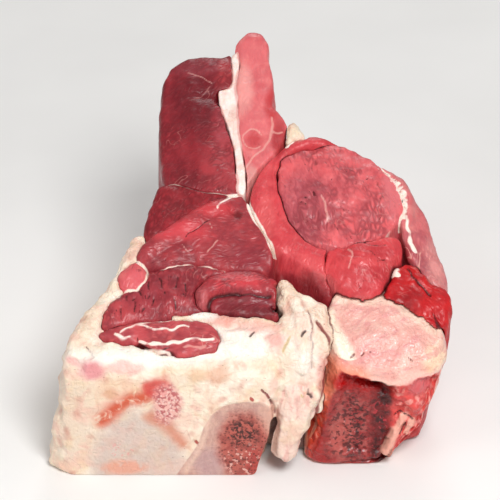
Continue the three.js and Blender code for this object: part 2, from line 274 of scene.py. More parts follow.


# %% [markdown]
# Raw lean meat is bundles of fibre in thin membranes, wet with its own juice. Light goes a millimetre or
# two into it and comes back redder, and the film of juice on top gives small sharp highlights. So the
# shader has a little subsurface scattering with red going furthest, IOR 1.38 as wet tissue has, and a
# thin clear coat. A bundle is 1.6 mm wide. Down the sides the bundles run as streaks; on the cut face
# the knife has dragged them over, so they lie as short bent cells. They show in some places and melt
# into an even tone in others, with a few dark nicks between them and small pale specks, partly fat and
# partly painted wet highlights. Down the sides a thin silvery skin pales them here and there.

# %% Lean meat
WET_TISSUE = {"IOR": 1.38, "Coat Weight": 0.3, "Coat Roughness": 0.27, "Coat IOR": 1.33,
              "Subsurface Weight": 0.15, "Subsurface Radius": (1.0, 0.3, 0.2), "Subsurface Scale": 1.3 * MM}
WET_MEAT = 1.25
BUNDLE_MM = 1.6
FIBRE_MM = 0.8
SEAM_SHADE = "#4c1216"
SEAM_WHITE = "#fbeae0"
NICK_DARK = "#6a2028"
FAT_AND_GLINT_PINK = "#f3bcb4"
SILVER_SKIN = "#dfa9a6"
THREAD_PINK = "#f0c2b8"
MARBLING_PINK = "#e8b0a6"
LEAN_RELIEF_MM = 0.1
DRY_ROUGHNESS = 0.5
JUICY_ROUGHNESS = 0.34


def lean_meat(name, deep, base, light, drag=0.0, fibres=0.3, marbling=0.3, nicks=0.4, known=(), smooth=(),
              bundle_mm=BUNDLE_MM):
    """drag is the direction in degrees that the cut fibres lie in, and fibres is how plainly they show;
    known holds the tints that one place of this muscle is known by, and smooth the tints of places
    where no fibres show."""
    material = blank(name)
    broad = place(material)
    down = place(material, (1, 1, 9))
    dragged = place(material, (2.1, 1, 1.6), (0, 0, math.radians(drag)))
    bent = wavering(material, dragged, 6.0, 2.2)
    up = add(material, "SeparateXYZ", {}, {0: add(material, "NewGeometry").outputs["Normal"]}).outputs[2]
    on_face = add(material, "MapRange", EASED, {"Value": up, "From Min": 0.3, "From Max": 0.65}).outputs[0]
    on_side = add(material, "Math", {"operation": "SUBTRACT"}, {0: 1.0, 1: on_face}).outputs[0]
    streaks = patches(material, FIBRE_MM, 0.3, 0.7, down, detail=2.0)
    long_streaks = patches(material, 2.2, 0.4, 0.62, place(material, (1, 1, 12)), warp=0.3)
    pale_streaks = patches(material, 2.8, 0.5, 0.66, place(material, (1, 1, 9), (0.08, 0.06, 0)))
    silver_skin = patches(material, 14, 0.5, 0.66, broad, warp=0.8)
    cell_inputs = {"Vector": bent, "Scale": 1 / (bundle_mm * MM)}
    cells = add(material, "TexVoronoi", {"feature": "DISTANCE_TO_EDGE"}, cell_inputs).outputs["Distance"]
    bundles = add(material, "MapRange", EASED, {"Value": cells, "From Min": 0.0, "From Max": 0.4}).outputs[0]
    grain_inputs = {0: on_face, 2: streaks, 3: bundles}
    grain = add(material, "Mix", {"data_type": "FLOAT"}, grain_inputs).outputs[0]
    gaps = add(material, "Math", {"operation": "SUBTRACT"}, {0: 1.0, 1: grain}).outputs[0]
    fibrous = patches(material, 9, 0.38, 0.6, broad, warp=0.4)
    soft_fibre = patches(material, 1.8, 0.42, 0.66, bent, warp=0.6)
    nicked = patches(material, 7, 0.5, 0.62, place(material, turn=(0.4, 0, 0)))
    dark_nicks = patches(material, 1.1, 0.6, 0.7, bent, warp=0.5)
    fat_specks_and_glints = patches(material, 1.1, 0.72, 0.8, broad)
    light_areas = patches(material, 6, 0.46, 0.68, broad, warp=0.5)
    threads = hairlines(material, 5.0, 0.018, dragged)
    known_tints, smooth_tints = tints(material, known), tints(material, smooth)
    colour = paint(material, base, [
        (patches(material, 12, 0.42, 0.64, broad, warp=0.6), 0.7, deep),
        (light_areas, 0.6, light),
        ((on_side, long_streaks), 0.5, deep),
        ((on_side, pale_streaks), 0.5, light),
        ((on_side, silver_skin), 0.25, SILVER_SKIN),
        *known_tints,
        (soft_fibre, 0.5 * fibres, light),
        ((gaps, fibrous), fibres, deep),
        ((gaps, fibrous, on_face), 0.4 * fibres, NICK_DARK),
        ((dark_nicks, on_face, nicked), nicks, NICK_DARK),
        *smooth_tints,
        # pale pink specks: partly fat, partly painted wet highlights
        ((fat_specks_and_glints, on_face), 0.2, FAT_AND_GLINT_PINK),
        ((threads, patches(material, 9, 0.52, 0.64, broad)), marbling, MARBLING_PINK),
        (carried(material, "thread", 0.3, 1.4), 0.55, THREAD_PINK),
        # painted shade: dark in the seams between pieces and along the marks whose shade is dark
        (carried(material, "crease", 0.2, 1.0), 0.85, SEAM_SHADE),
        (carried(material, "white_mm", -0.2, 0.35), 1.0, SEAM_WHITE),
    ])
    nick_depth = add(material, "Math", {"operation": "MULTIPLY"}, {0: dark_nicks, 1: nicked}).outputs[0]
    ridge_inputs = {0: long_streaks, 1: on_side, 2: grain}
    ridged = add(material, "Math", {"operation": "MULTIPLY_ADD"}, ridge_inputs).outputs[0]
    relief = add(material, "Math", {"operation": "SUBTRACT"}, {0: ridged, 1: nick_depth}).outputs[0]
    dryness_inputs = {"Value": light_areas, "To Min": DRY_ROUGHNESS, "To Max": JUICY_ROUGHNESS}
    dryness = add(material, "MapRange", {}, dryness_inputs).outputs[0]
    return finish(material, colour, relief, LEAN_RELIEF_MM, dryness, WET_TISSUE, WET_MEAT)


# %% [markdown]
# Fat is pale and waxy. It is made of lobules a few millimetres across in a fine net, scatters light
# deeply, and carries cream, yellow and pink stains where blood or air has reached it. Its hollows are
# painted a warmer rose as painted shade, so the mesh carries how hollow each place is, and thin cracks
# run through it.

# %% Fat
WET_FAT = 1.15
LOBULE_MM = 2.6
FAT_RELIEF_MM = 0.25
FAT_ROUGHNESS = 0.42
NET_TAN = "#e2b29b"
BLUSH_PINK = "#f0bfb0"
OLD_YELLOW = "#ecd0a8"
HOLLOW_SHADE_ROSE = "#d58f7c"
CRACK_BROWN = "#b98069"
SPECK_BROWN = "#8e4a38"
CREASE_SHADE_RED = "#7e2a24"
FAT_WHITE = "#fff4ea"
WAXY_TISSUE = {"IOR": 1.45, "Coat Weight": 0.2, "Coat Roughness": 0.22, "Subsurface Weight": 0.2,
               "Subsurface Radius": (1.0, 0.7, 0.5), "Subsurface Scale": 1.6 * MM}


def fat_glazes(material, stain, stain_strength):
    """The glazes that any fat has, and its lobules as relief."""
    broad = place(material)
    hanging = place(material, (1, 1, 2.2))
    cell_inputs = {"Vector": wavering(material, hanging, 3.0, 0.8), "Scale": 1 / (LOBULE_MM * MM)}
    cells = add(material, "TexVoronoi", {"feature": "SMOOTH_F1"}, cell_inputs).outputs["Distance"]
    net = add(material, "MapRange", EASED, {"Value": cells, "From Min": 0.5, "From Max": 0.9}).outputs[0]
    fine = patches(material, 1.1, 0.3, 0.7, broad)
    relief = add(material, "Math", {"operation": "SUBTRACT"}, {0: fine, 1: cells}).outputs[0]
    cracked = patches(material, 9, 0.52, 0.62, place(material, turn=(0.5, 0, 0)))
    glazes = [
        (net, 0.2, NET_TAN),
        (patches(material, 9, 0.47, 0.66, broad, warp=0.8), 0.5, BLUSH_PINK),
        (patches(material, 11, 0.54, 0.7, place(material, turn=(0, 0.7, 0)), warp=0.8), 0.35, OLD_YELLOW),
        (patches(material, 8, 0.56, 0.7, hanging, warp=0.8), stain_strength, stain),
        # painted shade: a warm rose in the hollows between the folds
        (carried(material, "hollow", 0.8, 0.0), 0.7, HOLLOW_SHADE_ROSE),
        ((hairlines(material, 7.0, 0.014, hanging), cracked), 0.3, CRACK_BROWN),
        (patches(material, 1.4, 0.7, 0.76, broad), 0.6, SPECK_BROWN),
        # painted shade: dark red in the seams and along the marks whose shade is dark
        (carried(material, "crease", 0.2, 1.0), 0.8, CREASE_SHADE_RED),
        (carried(material, "white_mm", -0.15, 0.25), 1.0, FAT_WHITE),
    ]
    return glazes, relief


def fat_tissue(name, base, cream, stain, stain_strength):
    material = blank(name)
    glazes, relief = fat_glazes(material, stain, stain_strength)
    cream_areas = patches(material, 11, 0.42, 0.62, place(material))
    colour = paint(material, base, [(cream_areas, 1.0, cream), *glazes])
    return finish(material, colour, relief, FAT_RELIEF_MM, FAT_ROUGHNESS, WAXY_TISSUE, WET_FAT)


# %% [markdown]
# The solids are faceted, with a gap of a third of a millimetre between neighbours. Real pieces are
# smooth and grown together. Remeshing gives even small faces, a few rounds of smoothing take the
# facets out, and then every vertex can be moved by rules in numpy, which is fast for whole arrays.
# Bone, fat, ligament and tendon have no seams at all in life, so their solids are swollen until they
# touch and remeshed together, which welds them into one skin.

# %% Dense copies of the solids
FACE_MM = 0.68
WELD_SWELL_MM = 0.3
SAME_POINT_MM = 0.001
GROWN_TOGETHER = ("joint_block", "fat_cover", "outer_fat", "shaft_bone", "ligament", "tendon_end")
SMOOTH_ROUNDS = {True: 24, False: 10}
sources = {node: (node,) for node in sorted(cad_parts) if node not in GROWN_TOGETHER}
sources["bone_and_fat"] = GROWN_TOGETHER


def welded_mesh(nodes):
    """The nodes' meshes as one; several are swollen a little so that they overlap."""
    joined = bmesh.new()
    for node in nodes:
        joined.from_mesh(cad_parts[node].data)
    bmesh.ops.remove_doubles(joined, verts=joined.verts, dist=SAME_POINT_MM * MM)
    if len(nodes) > 1:
        joined.normal_update()
        for vertex in joined.verts:
            vertex.co += WELD_SWELL_MM * MM * vertex.normal
    mesh = bpy.data.meshes.new("joined")
    joined.to_mesh(mesh)
    joined.free()
    return mesh


def dense_copy(piece):
    """A piece's solids as one mesh of small even faces, smoothed."""
    nodes = sources[piece]
    copy = bpy.data.objects.new(piece + "_work", welded_mesh(nodes))
    scene.collection.objects.link(copy)
    remesh = copy.modifiers.new("remesh", "REMESH")
    remesh.mode = "VOXEL"
    remesh.voxel_size = FACE_MM * MM
    smooth = copy.modifiers.new("smooth", "SMOOTH")
    smooth.factor = 0.5
    smooth.iterations = SMOOTH_ROUNDS[len(nodes) > 1]
    bpy.context.view_layer.update()
    evaluated = copy.evaluated_get(bpy.context.evaluated_depsgraph_get())
    mesh = bpy.data.meshes.new_from_object(evaluated)
    bpy.data.objects.remove(copy)
    mesh.name = piece
    return mesh


def points_of(mesh):
    values = np.empty(len(mesh.vertices) * 3)
    mesh.vertices.foreach_get("co", values)
    return values.reshape(-1, 3) / MM


def normals_of(mesh):
    values = np.empty(len(mesh.vertices) * 3, np.float32)
    mesh.vertex_normals.foreach_get("vector", values)
    return values.reshape(-1, 3).astype(float)


def set_points(mesh, points):
    mesh.vertices.foreach_set("co", (points * MM).ravel())
    mesh.update()


meshes = {piece: dense_copy(piece) for piece in sources}
print("dense vertices:", sum(len(m.vertices) for m in meshes.values()))

# %% [markdown]
# Neighbouring muscles meet in one even cut face, because the knife went through them together. Their
# common face is found from the solids themselves: the height of the upward-facing vertices, averaged
# with a soft reach of 4 mm, gives a smooth sheet over the whole cut. One vertex in nine is enough.

# %% The common cut face
SHEET_STEP = 2.0
SHEET_REACH = 4.0
UPWARD = 0.75
TAKE_EVERY = 9
sheet_low = np.array([cad_low[0], cad_low[1]]) / MM - SHEET_STEP
sheet_high = np.array([cad_high[0], cad_high[1]]) / MM + SHEET_STEP
sheet_size = np.ceil((sheet_high - sheet_low) / SHEET_STEP).astype(int) + 1
tops = np.concatenate([points_of(m)[normals_of(m)[:, 2] > UPWARD][::TAKE_EVERY] for m in meshes.values()])
grid_x, grid_y = np.meshgrid(*[sheet_low[i] + SHEET_STEP * np.arange(sheet_size[i]) for i in (0, 1)],
                             indexing="ij")
sheet = np.empty(sheet_size)
for i in range(sheet_size[0]):
    away = (grid_x[i][:, None] - tops[:, 0]) ** 2 + (grid_y[i][:, None] - tops[:, 1]) ** 2
    weight = np.exp(-away / (2 * SHEET_REACH ** 2)) + 1e-12
    sheet[i] = (weight * tops[:, 2]).sum(1) / weight.sum(1)


def sheet_height(points):
    """Height of the common cut face over each point, in mm."""
    at = np.clip((points[:, :2] - sheet_low) / SHEET_STEP, 0, np.array(sheet_size) - 1.001)
    i, j = at.astype(int).T
    u, v = (at - at.astype(int)).T
    near = sheet[i, j] * (1 - u) * (1 - v) + sheet[i + 1, j] * u * (1 - v)
    return near + sheet[i, j + 1] * (1 - u) * v + sheet[i + 1, j + 1] * u * v


print("cut face from", round(sheet.min()), "to", round(sheet.max()), "mm high")

# %% [markdown]
# To close a seam, each vertex near the cut face needs to know how far the neighbour's wall is. The
# neighbours' own solids answer that exactly. Their rims are rounded, so the question is asked a few
# millimetres lower, where the walls stand upright. A solid that only lies underneath doesn't count:
# its nearest face looks up, while a wall's looks sideways.

# %% Distance to the neighbour's wall
BELOW_RIM = 4.0
WALL_TILT = 0.6
NO_NEIGHBOUR = 99.0
solid_names = sorted(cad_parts)
piece_of = {node: piece for piece, nodes in sources.items() for node in nodes}


def solids_tree(nodes):
    """A search tree over the nodes' faces in mm, and the node that each face belongs to."""
    corners, faces, owner = [], [], []
    for node in nodes:
        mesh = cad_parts[node].data
        mesh.calc_loop_triangles()
        first = len(corners)
        corners += [tuple(vertex.co / MM) for vertex in mesh.vertices]
        faces += [tuple(first + i for i in triangle.vertices) for triangle in mesh.loop_triangles]
        owner += [node] * len(mesh.loop_triangles)
    return BVHTree.FromPolygons(corners, faces), owner


def wall_distance(piece):
    """For each vertex the distance in mm to the next wall, and how deep a groove that seam has."""
    tree, owner = solids_tree([node for node in solid_names if node not in sources[piece]])
    points = points_of(meshes[piece])
    points[:, 2] = np.minimum(points[:, 2], sheet_height(points) - BELOW_RIM)
    distance = np.full(len(points), NO_NEIGHBOUR)
    groove = np.zeros(len(points))
    depths = {other: seam_of(piece, other).groove for other in sources}
    for i, point in enumerate(points):
        _, normal, face, away = tree.find_nearest(point)
        if abs(normal.z) < WALL_TILT:
            distance[i] = away
            groove[i] = depths[piece_of[owner[face]]]
    return distance, groove


# %% [markdown]
# Where two pieces meet, the seam is a fine crease, a deep dark fold or a white line of membrane. Which
# one it is depends on the pair. A seam has a groove's depth, the reach of the painted shade in its
# crease and half the width of its white line, all in mm; a pair without a white line gets a width far
# below zero.

# %% Seams between pieces
Seam = namedtuple("Seam", "groove crease white")
NO_LINE = -9.0
FINE_SEAM = Seam(0.15, 0.45, NO_LINE)
FAT_SEAM = Seam(0.1, 0.3, NO_LINE)
SEAMS = {
    ("wedge_muscle", "wrap_muscle"): Seam(0.0, 0.1, 1.2),
    ("wedge_muscle", "side_muscle"): Seam(0.1, 0.2, NO_LINE),
    ("wedge_muscle", "lower_muscle"): Seam(0.0, 0.05, 0.4),
    ("wedge_muscle", "edge_muscle"): Seam(0.1, 0.2, 0.7),
    ("shank_muscle", "side_muscle"): Seam(0.15, 0.4, 0.12),
    ("shank_muscle", "wedge_muscle"): Seam(0.1, 0.3, 0.8),
    ("edge_muscle", "lower_muscle"): Seam(0.1, 0.2, 0.9),
    ("fascia_plate", "shank_muscle"): Seam(0.0, 0.1, 0.1),
    ("fascia_plate", "long_strip"): Seam(0.0, 0.1, 0.1),
    ("fascia_plate", "wedge_muscle"): Seam(0.0, 0.1, 0.7),
    ("fascia_plate", "wrap_muscle"): Seam(0.0, 0.1, 0.7),
    ("long_strip", "wrap_muscle"): Seam(0.4, 0.7, NO_LINE),
    ("eye_muscle", "wrap_muscle"): Seam(0.9, 0.6, NO_LINE),
    ("eye_muscle", "lobe_muscle"): Seam(0.4, 0.5, NO_LINE),
    ("lobe_muscle", "wrap_muscle"): Seam(0.0, 0.1, NO_LINE),
    ("lobe_muscle", "trimming"): Seam(1.6, 1.8, NO_LINE),
    ("knuckle_bone", "lobe_muscle"): Seam(0.6, 0.9, NO_LINE),
    ("knuckle_bone", "trimming"): Seam(0.4, 0.7, NO_LINE),
    ("flank_muscle", "trimming"): Seam(0.5, 0.8, NO_LINE),
    ("eye_muscle", "flank_muscle"): Seam(0.0, 0.1, 0.5),
    ("flank_muscle", "wrap_muscle"): Seam(0.0, 0.1, 0.6),
    ("fold_muscle", "lower_muscle"): Seam(0.3, 0.4, NO_LINE),
    ("fold_muscle", "wrap_muscle"): Seam(0.1, 0.2, 0.9),
    ("fold_muscle", "wedge_muscle"): Seam(0.2, 0.35, NO_LINE),
    ("bone_and_fat", "strip_in_fat"): Seam(0.15, 0.35, NO_LINE),
    ("bone_and_fat", "wrap_muscle"): Seam(0.1, 0.4, NO_LINE),
    ("bone_and_fat", "fold_muscle"): Seam(0.3, 0.6, NO_LINE),
    ("bone_and_fat", "knuckle_bone"): Seam(0.5, 0.5, NO_LINE),
}


def seam_of(piece, other):
    """The seam between two pieces; fat grows tighter to its neighbours than meat does."""
    if (piece, other) in SEAMS:
        return SEAMS[(piece, other)]
    if (other, piece) in SEAMS:
        return SEAMS[(other, piece)]
    return FAT_SEAM if "bone_and_fat" in (piece, other) else FINE_SEAM


walls = {piece: wall_distance(piece) for piece in meshes}
print("walls measured for", len(walls), "pieces")

# %% [markdown]
# Relief in meat is gentle: broad swells, lumps where bundles bulge and a fine grain. Gradient noise
# gives all three at different sizes. It is written out here because numpy works on a whole mesh at
# once, and a fixed hash of the lattice corner makes it the same on every run.

# %% Gradient noise
NOISE_GAIN = 1.6


def hashed_gradients(cells, seed):
    """A direction for each lattice corner, the same on every run."""
    mixed = (cells[:, 0] * 73856093) ^ (cells[:, 1] * 19349663) ^ (cells[:, 2] * 83492791) ^ (seed * 2654435)
    mixed = (mixed ^ (mixed >> 13)) * 1274126177
    bits = ((mixed ^ (mixed >> 16)) & 0xFFFF) / 65536.0
    more = (((mixed * 40503) >> 8) & 0xFFFF) / 65536.0
    height = 2 * more - 1
    ring = np.sqrt(np.maximum(0, 1 - height ** 2))
    angle = 2 * np.pi * bits
    return np.stack([ring * np.cos(angle), ring * np.sin(angle), height], axis=1)


def gradient_noise(points, seed):
    """Smooth noise from -1 to 1 with features one unit wide."""
    cell = np.floor(points).astype(np.int64)
    inside = points - cell
    fade = inside ** 3 * (inside * (inside * 6 - 15) + 10)
    total = np.zeros(len(points))
    for corner in np.ndindex(2, 2, 2):
        offset = np.array(corner)
        slope = hashed_gradients(cell + offset, seed)
        weight = np.prod(np.where(offset == 1, fade, 1 - fade), axis=1)
        total += weight * ((inside - offset) * slope).sum(1)
    return NOISE_GAIN * total


def smoothstep(values, low, high):
    t = np.clip((values - low) / (high - low), 0, 1)
    return t * t * (3 - 2 * t)


# %% [markdown]
# A few things are known by their place: a hollow, a ridge, a knife's nick, a white thread. Each is a
# mark, a line through a handful of places seen from above (x and y of the plan) or from the front
# (x and z), with a half width and a depth in mm; a negative depth makes a ridge. The line's corners are
# rounded off, and noise makes it waver by half a millimetre, because nothing in meat is straight. A
# mark may also have a shade: white and dark are membrane and shadow, thread is a thin pink membrane,
# and any other name is carried to the material, which paints it as it likes. A piece's marks are kept
# by name, so that each can be found and changed by itself.

# %% Marks
Mark = namedtuple("Mark", "view places half_width depth shade", defaults=(None,))
ABOVE = [0, 1]
FRONT = [0, 2]
FACE_BAND = (3.0, 6.0)
FRONT_BAND = (10.0, 14.0)
WAVER_MM = 0.55
WAVER_SIZE = 3.5


def rounded(places, rounds=3):
    """Rounds a line's corners by cutting them off a few times."""
    line = np.array(places, float)
    for _ in range(rounds):
        inner = np.stack([0.75 * line[:-1] + 0.25 * line[1:], 0.25 * line[:-1] + 0.75 * line[1:]], axis=1)
        line = np.vstack([line[:1], inner.reshape(-1, 2), line[-1:]])
    return line


def mark_distance(mark, points, waver):
    """Distance in mm from each vertex to a mark's line, in the mark's own view."""
    seen = (points - PLAN_ORIGIN)[:, mark.view] + waver
    line = rounded(mark.places)
    nearest = np.full(len(points), NO_NEIGHBOUR)
    for start, end in zip(line[:-1], line[1:]):
        along = end - start
        t = np.clip((seen - start) @ along / (along @ along), 0, 1)
        nearest = np.minimum(nearest, np.linalg.norm(seen - start - t[:, None] * along, axis=1))
    if mark.view == ABOVE:
        far = smoothstep(sheet_height(points) - points[:, 2], *FACE_BAND)
    else:
        far = smoothstep(points[:, 1] - PLAN_ORIGIN[1], *FRONT_BAND)
    return nearest + NO_NEIGHBOUR * far


# %% [markdown]
# Now the pieces take their form. First the rim: within a few millimetres of a wall the rounded edge of
# the solid is lifted to the common face, less the seam's groove, so the seam closes as in real meat.
# Then the relief and the marks move each vertex along its normal, and down the sides the bundles show
# as long ridges. The underside stays flat on the board, and nothing may leave the box of the solid by
# more than a fraction of a millimetre.

# %% Shaping a piece
SEAM_REACH = (2.4, 6.0)
RIM_DEPTH = 7.0
GROOVE_WIDTH = 0.9
BOARD_BAND = 3.0
OUTSIDE_BOX = 0.4
PUFF_MM = 0.2
LONG_FIBRES = (1, 1, 0.35)
NO_GRAIN = (1, 1, 1)
RIDGE_RUN = np.array([1, 1, 0.07])
RIDGE_MM = 0.7
RIDGE_SIZE = 4.5
RIDGE_DEPTH = (3.0, 9.0)
RIDGE_SEED = 7
WAVER_SEED = 71
LAYER_SEED = 31
LAYER_SHIFT = 17


def close_seams(points, distance, groove, closing):
    """Lifts the rim next to a wall to the common face, less a groove."""
    depth = sheet_height(points) - points[:, 2]
    near = 1 - smoothstep(distance, *SEAM_REACH)
    above = 1 - smoothstep(depth, 0.0, RIM_DEPTH)
    lift = closing * np.maximum(depth, 0) * above * near
    points[:, 2] += lift - groove * above * np.exp(-(distance / GROOVE_WIDTH) ** 2)
    return points


def board_limits(piece, points):
    """Keeps a piece in its solids' box and on the board."""
    boxes = [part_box(node) for node in sources[piece]]
    lowest = np.min([np.array(low) / MM for low, _ in boxes], axis=0) - OUTSIDE_BOX
    highest = np.max([np.array(high) / MM for _, high in boxes], axis=0) + OUTSIDE_BOX
    points = np.clip(points, lowest, highest)
    points[:, 2] = np.maximum(points[:, 2], 0.0)
    return points


def seed_of(piece):
    """Each piece has noise of its own."""
    return 1 + list(meshes).index(piece)


def swell(piece, points, layer, height, size, run=NO_GRAIN):
    """One layer of a piece's relief: noise of a height and a size in mm, drawn out along its run."""
    spread = points * np.array(run) / size + LAYER_SHIFT * layer
    return height * gradient_noise(spread, seed_of(piece) + LAYER_SEED * layer)


def shape(piece, relief, closing, run, marks, calm):
    """Moves the vertices; relief is a list of (height, size) in mm. Returns each mark's distances."""
    mesh = meshes[piece]
    seed = seed_of(piece)
    points = close_seams(points_of(mesh), *walls[piece], closing)
    set_points(mesh, points)
    normals = normals_of(mesh)
    rise = np.zeros(len(points))
    for layer, (height, size) in enumerate(relief):
        rise += swell(piece, points, layer, height, size, run)
    if run == LONG_FIBRES:
        down_side = smoothstep(sheet_height(points) - points[:, 2], *RIDGE_DEPTH)
        rise += RIDGE_MM * down_side * gradient_noise(points * RIDGE_RUN / RIDGE_SIZE, seed + RIDGE_SEED)
    if calm is not None:
        rise *= calm(points, normals)
    sway = [gradient_noise(points / WAVER_SIZE, seed + WAVER_SEED + k) for k in (0, 1)]
    waver = WAVER_MM * np.stack(sway, axis=1)
    distances = [mark_distance(mark, points, waver) for mark in marks]
    for mark, distance in zip(marks, distances):
        rise -= mark.depth * np.exp(-(distance / mark.half_width) ** 2)
    rise = (rise + PUFF_MM) * smoothstep(points[:, 2], 0.0, BOARD_BAND)
    set_points(mesh, board_limits(piece, points + normals * rise[:, None]))
    return distances


# %% [markdown]
# Each shaped mesh becomes the piece that is seen. It rides on the one body of the part and stands in
# for its solids. The shades of its marks are kept: how far beyond a white line's edge each vertex lies,
# in mm, and for every other shade the distance from the line in half widths.

# %% Making a piece
LINE_SWELL = 1.1
LINE_SWELL_SIZE = 2.6
made = {}
own_lines = {}


def carry(mesh, name, values):
    """Keeps one number for each vertex on the mesh, where a material can read it."""
    attribute = mesh.attributes.new(name, "FLOAT", "POINT")
    attribute.data.foreach_set("value", values.astype(np.float32))


def make_piece(piece, material, relief, closing=1.0, run=LONG_FIBRES, marks=None, calm=None):
    """Shapes a piece and makes its object; marks holds each mark by name."""
    marks = list((marks or {}).values())
    distances = shape(piece, relief, closing, run, marks, calm)
    mesh = meshes[piece]
    thickness = 1 + LINE_SWELL * gradient_noise(points_of(mesh) / LINE_SWELL_SIZE, 3)
    shades = {name: np.full(len(mesh.vertices), NO_NEIGHBOUR) for name in ("white", "dark", "thread")}
    for mark, distance in zip(marks, distances):
        white_away = distance - mark.half_width * thickness
        away = white_away if mark.shade == "white" else distance / mark.half_width
        if mark.shade is not None:
            shades[mark.shade] = np.minimum(shades.get(mark.shade, NO_NEIGHBOUR), away)
    own_lines[piece] = shades.pop("white"), shades.pop("dark")
    for name, away in shades.items():
        carry(mesh, name, away)
    mesh.materials.clear()
    mesh.materials.append(material)
    mesh.polygons.foreach_set("use_smooth", [True] * len(mesh.polygons))
    look = bpy.data.objects.new("look_" + piece, mesh)
    scene.collection.objects.link(look)
    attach(look, "root")
    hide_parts(*sources[piece])
    made[piece] = look
    print(piece, len(mesh.polygons), "faces")
    return look


# %% [markdown]
# The large back muscle is the darkest: it worked hardest and holds the most myoglobin. Its core is
# almost maroon and even in tone, with a few pale streaks over it. A brighter shoulder lies at its top
# right, and its front half is pinker, with the fibres dragged up to the right.

# %% Dark muscle
SHANK_CORE = Tint((-21, 105, 98), (9, 15, 14), 0.85, "#7c1c2c")
SHANK_BACK = Tint((-18, 121, 105), (12, 4.5, 8), 0.6, "#a5535c")
SHANK_SHOULDER = Tint((-8.5, 116, 104), (4.5, 9, 9), 0.8, "#b9484c")
SHANK_BESIDE = Tint((-10, 91, 93), (4.4, 16, 10), 0.6, "#c2636b")
SHANK_FRONT = Tint((-9, 75, 84), (9, 15, 12), 0.7, "#c1575d")
dark_lean = lean_meat("dark_shank_meat", "#852230", "#9f323d", "#b7464f", drag=38, fibres=0.45, nicks=0.3,
                      known=[SHANK_CORE, SHANK_BACK, SHANK_SHOULDER, SHANK_BESIDE, SHANK_FRONT])
shank_marks = {
    "dimple": Mark(ABOVE, [(-17, 108), (-10, 107)], 3.5, 1.4),
    "thread": Mark(ABOVE, [(-24, 118), (-19, 117), (-15, 113)], 0.35, 0.1, "thread"),
}
make_piece("shank_muscle", dark_lean, [(1.2, 15), (0.5, 5), (0.12, 1.8)], marks=shank_marks)

# %% [markdown]
# The narrow muscle at the left edge shows mostly its side. It is a dull, middling red. It takes the same
# recipe as its neighbours with values of its own, because only its tone and the run of its fibres differ.

# %% Side muscle
dull_lean = lean_meat("dull_side_meat", "#8c222e", "#a6303a", "#bd4952", drag=55, fibres=0.6, marbling=0.25)
make_piece("side_muscle", dull_lean, [(0.8, 9), (0.45, 4), (0.14, 1.6)])

# %% [markdown]
# The wedge is a rose red. It has a bright band along its upper edge, rolled up where the membrane has
# shrunk, with a shadow line under it. The roll could be sculpted, but two marks along the lines that the
# band and its shadow take say the same and stay easy to change.

# %% Wedge muscle
WEDGE_BAND_LINE = [(-40, 42), (-33, 48), (-26, 53), (-19, 58), (-11, 62.5)]
WEDGE_SHADOW_LINE = [(-34, 42), (-26, 46.5), (-19.5, 51.5), (-12, 58)]
WEDGE_RED = Tint((-29, 51, 72), (14, 4.6, 9), 0.8, "#dd5a62")
WEDGE_RED_INNER = Tint((-15, 60, 76), (9, 4, 8), 0.75, "#da545b")
# painted shade: a dark spot in the pit that the mark of that name presses in
WEDGE_PIT_SHADE = Tint((-5, 58.2, 75), (2, 1.6, 6), 0.8, "#7c1c24")
WEDGE_CORNER = Tint((0, 42, 68), (6, 5, 8), 0.6, "#9c3f4c")
wedge_lean = lean_meat("rose_wedge_meat", "#973b46", "#b5484f", "#c95e63", drag=10, fibres=0.4, marbling=0.15,
                       known=[WEDGE_CORNER], smooth=[WEDGE_RED, WEDGE_RED_INNER, WEDGE_PIT_SHADE])
wedge_marks = {
    "rolled band": Mark(ABOVE, WEDGE_BAND_LINE, 3.2, -1.7),
    "groove under the band": Mark(ABOVE, WEDGE_SHADOW_LINE, 1.2, 0.6),
    "crack in the groove": Mark(ABOVE, [(-24, 48), (-19.5, 51.5), (-15, 55.5)], 0.3, 0.3, "dark"),
    "pit": Mark(ABOVE, [(-7, 59.5), (-5, 57.4)], 1.1, 1.0),
    "membrane at the corner": Mark(ABOVE, [(-5, 66.5), (-9.7, 64), (-11.8, 59.8)], 0.4, 0.1, "white"),
    "left thread": Mark(ABOVE, [(-25.2, 45.4), (-22.6, 42.8)], 0.3, 0.1, "thread"),
    "upper thread": Mark(ABOVE, [(-15.4, 54.4), (-14, 51.6)], 0.3, 0.1, "thread"),
    "right thread": Mark(ABOVE, [(-16, 43), (-11.6, 47.6)], 0.25, 0.1, "thread"),
}
make_piece("wedge_muscle", wedge_lean, [(0.9, 13), (0.45, 5), (0.14, 1.7)], marks=wedge_marks)

# %% [markdown]
# The muscle in front of the wedge has small dark nicks all over its cut face, where the knife skipped;
# they are pressed in and painted dark as the shadow inside them.
# Only their middles are written down. A loop makes each a short slanting line, and the lengths and
# slants take turns, so that no two neighbours look alike. A thin edge of fat runs along its front.

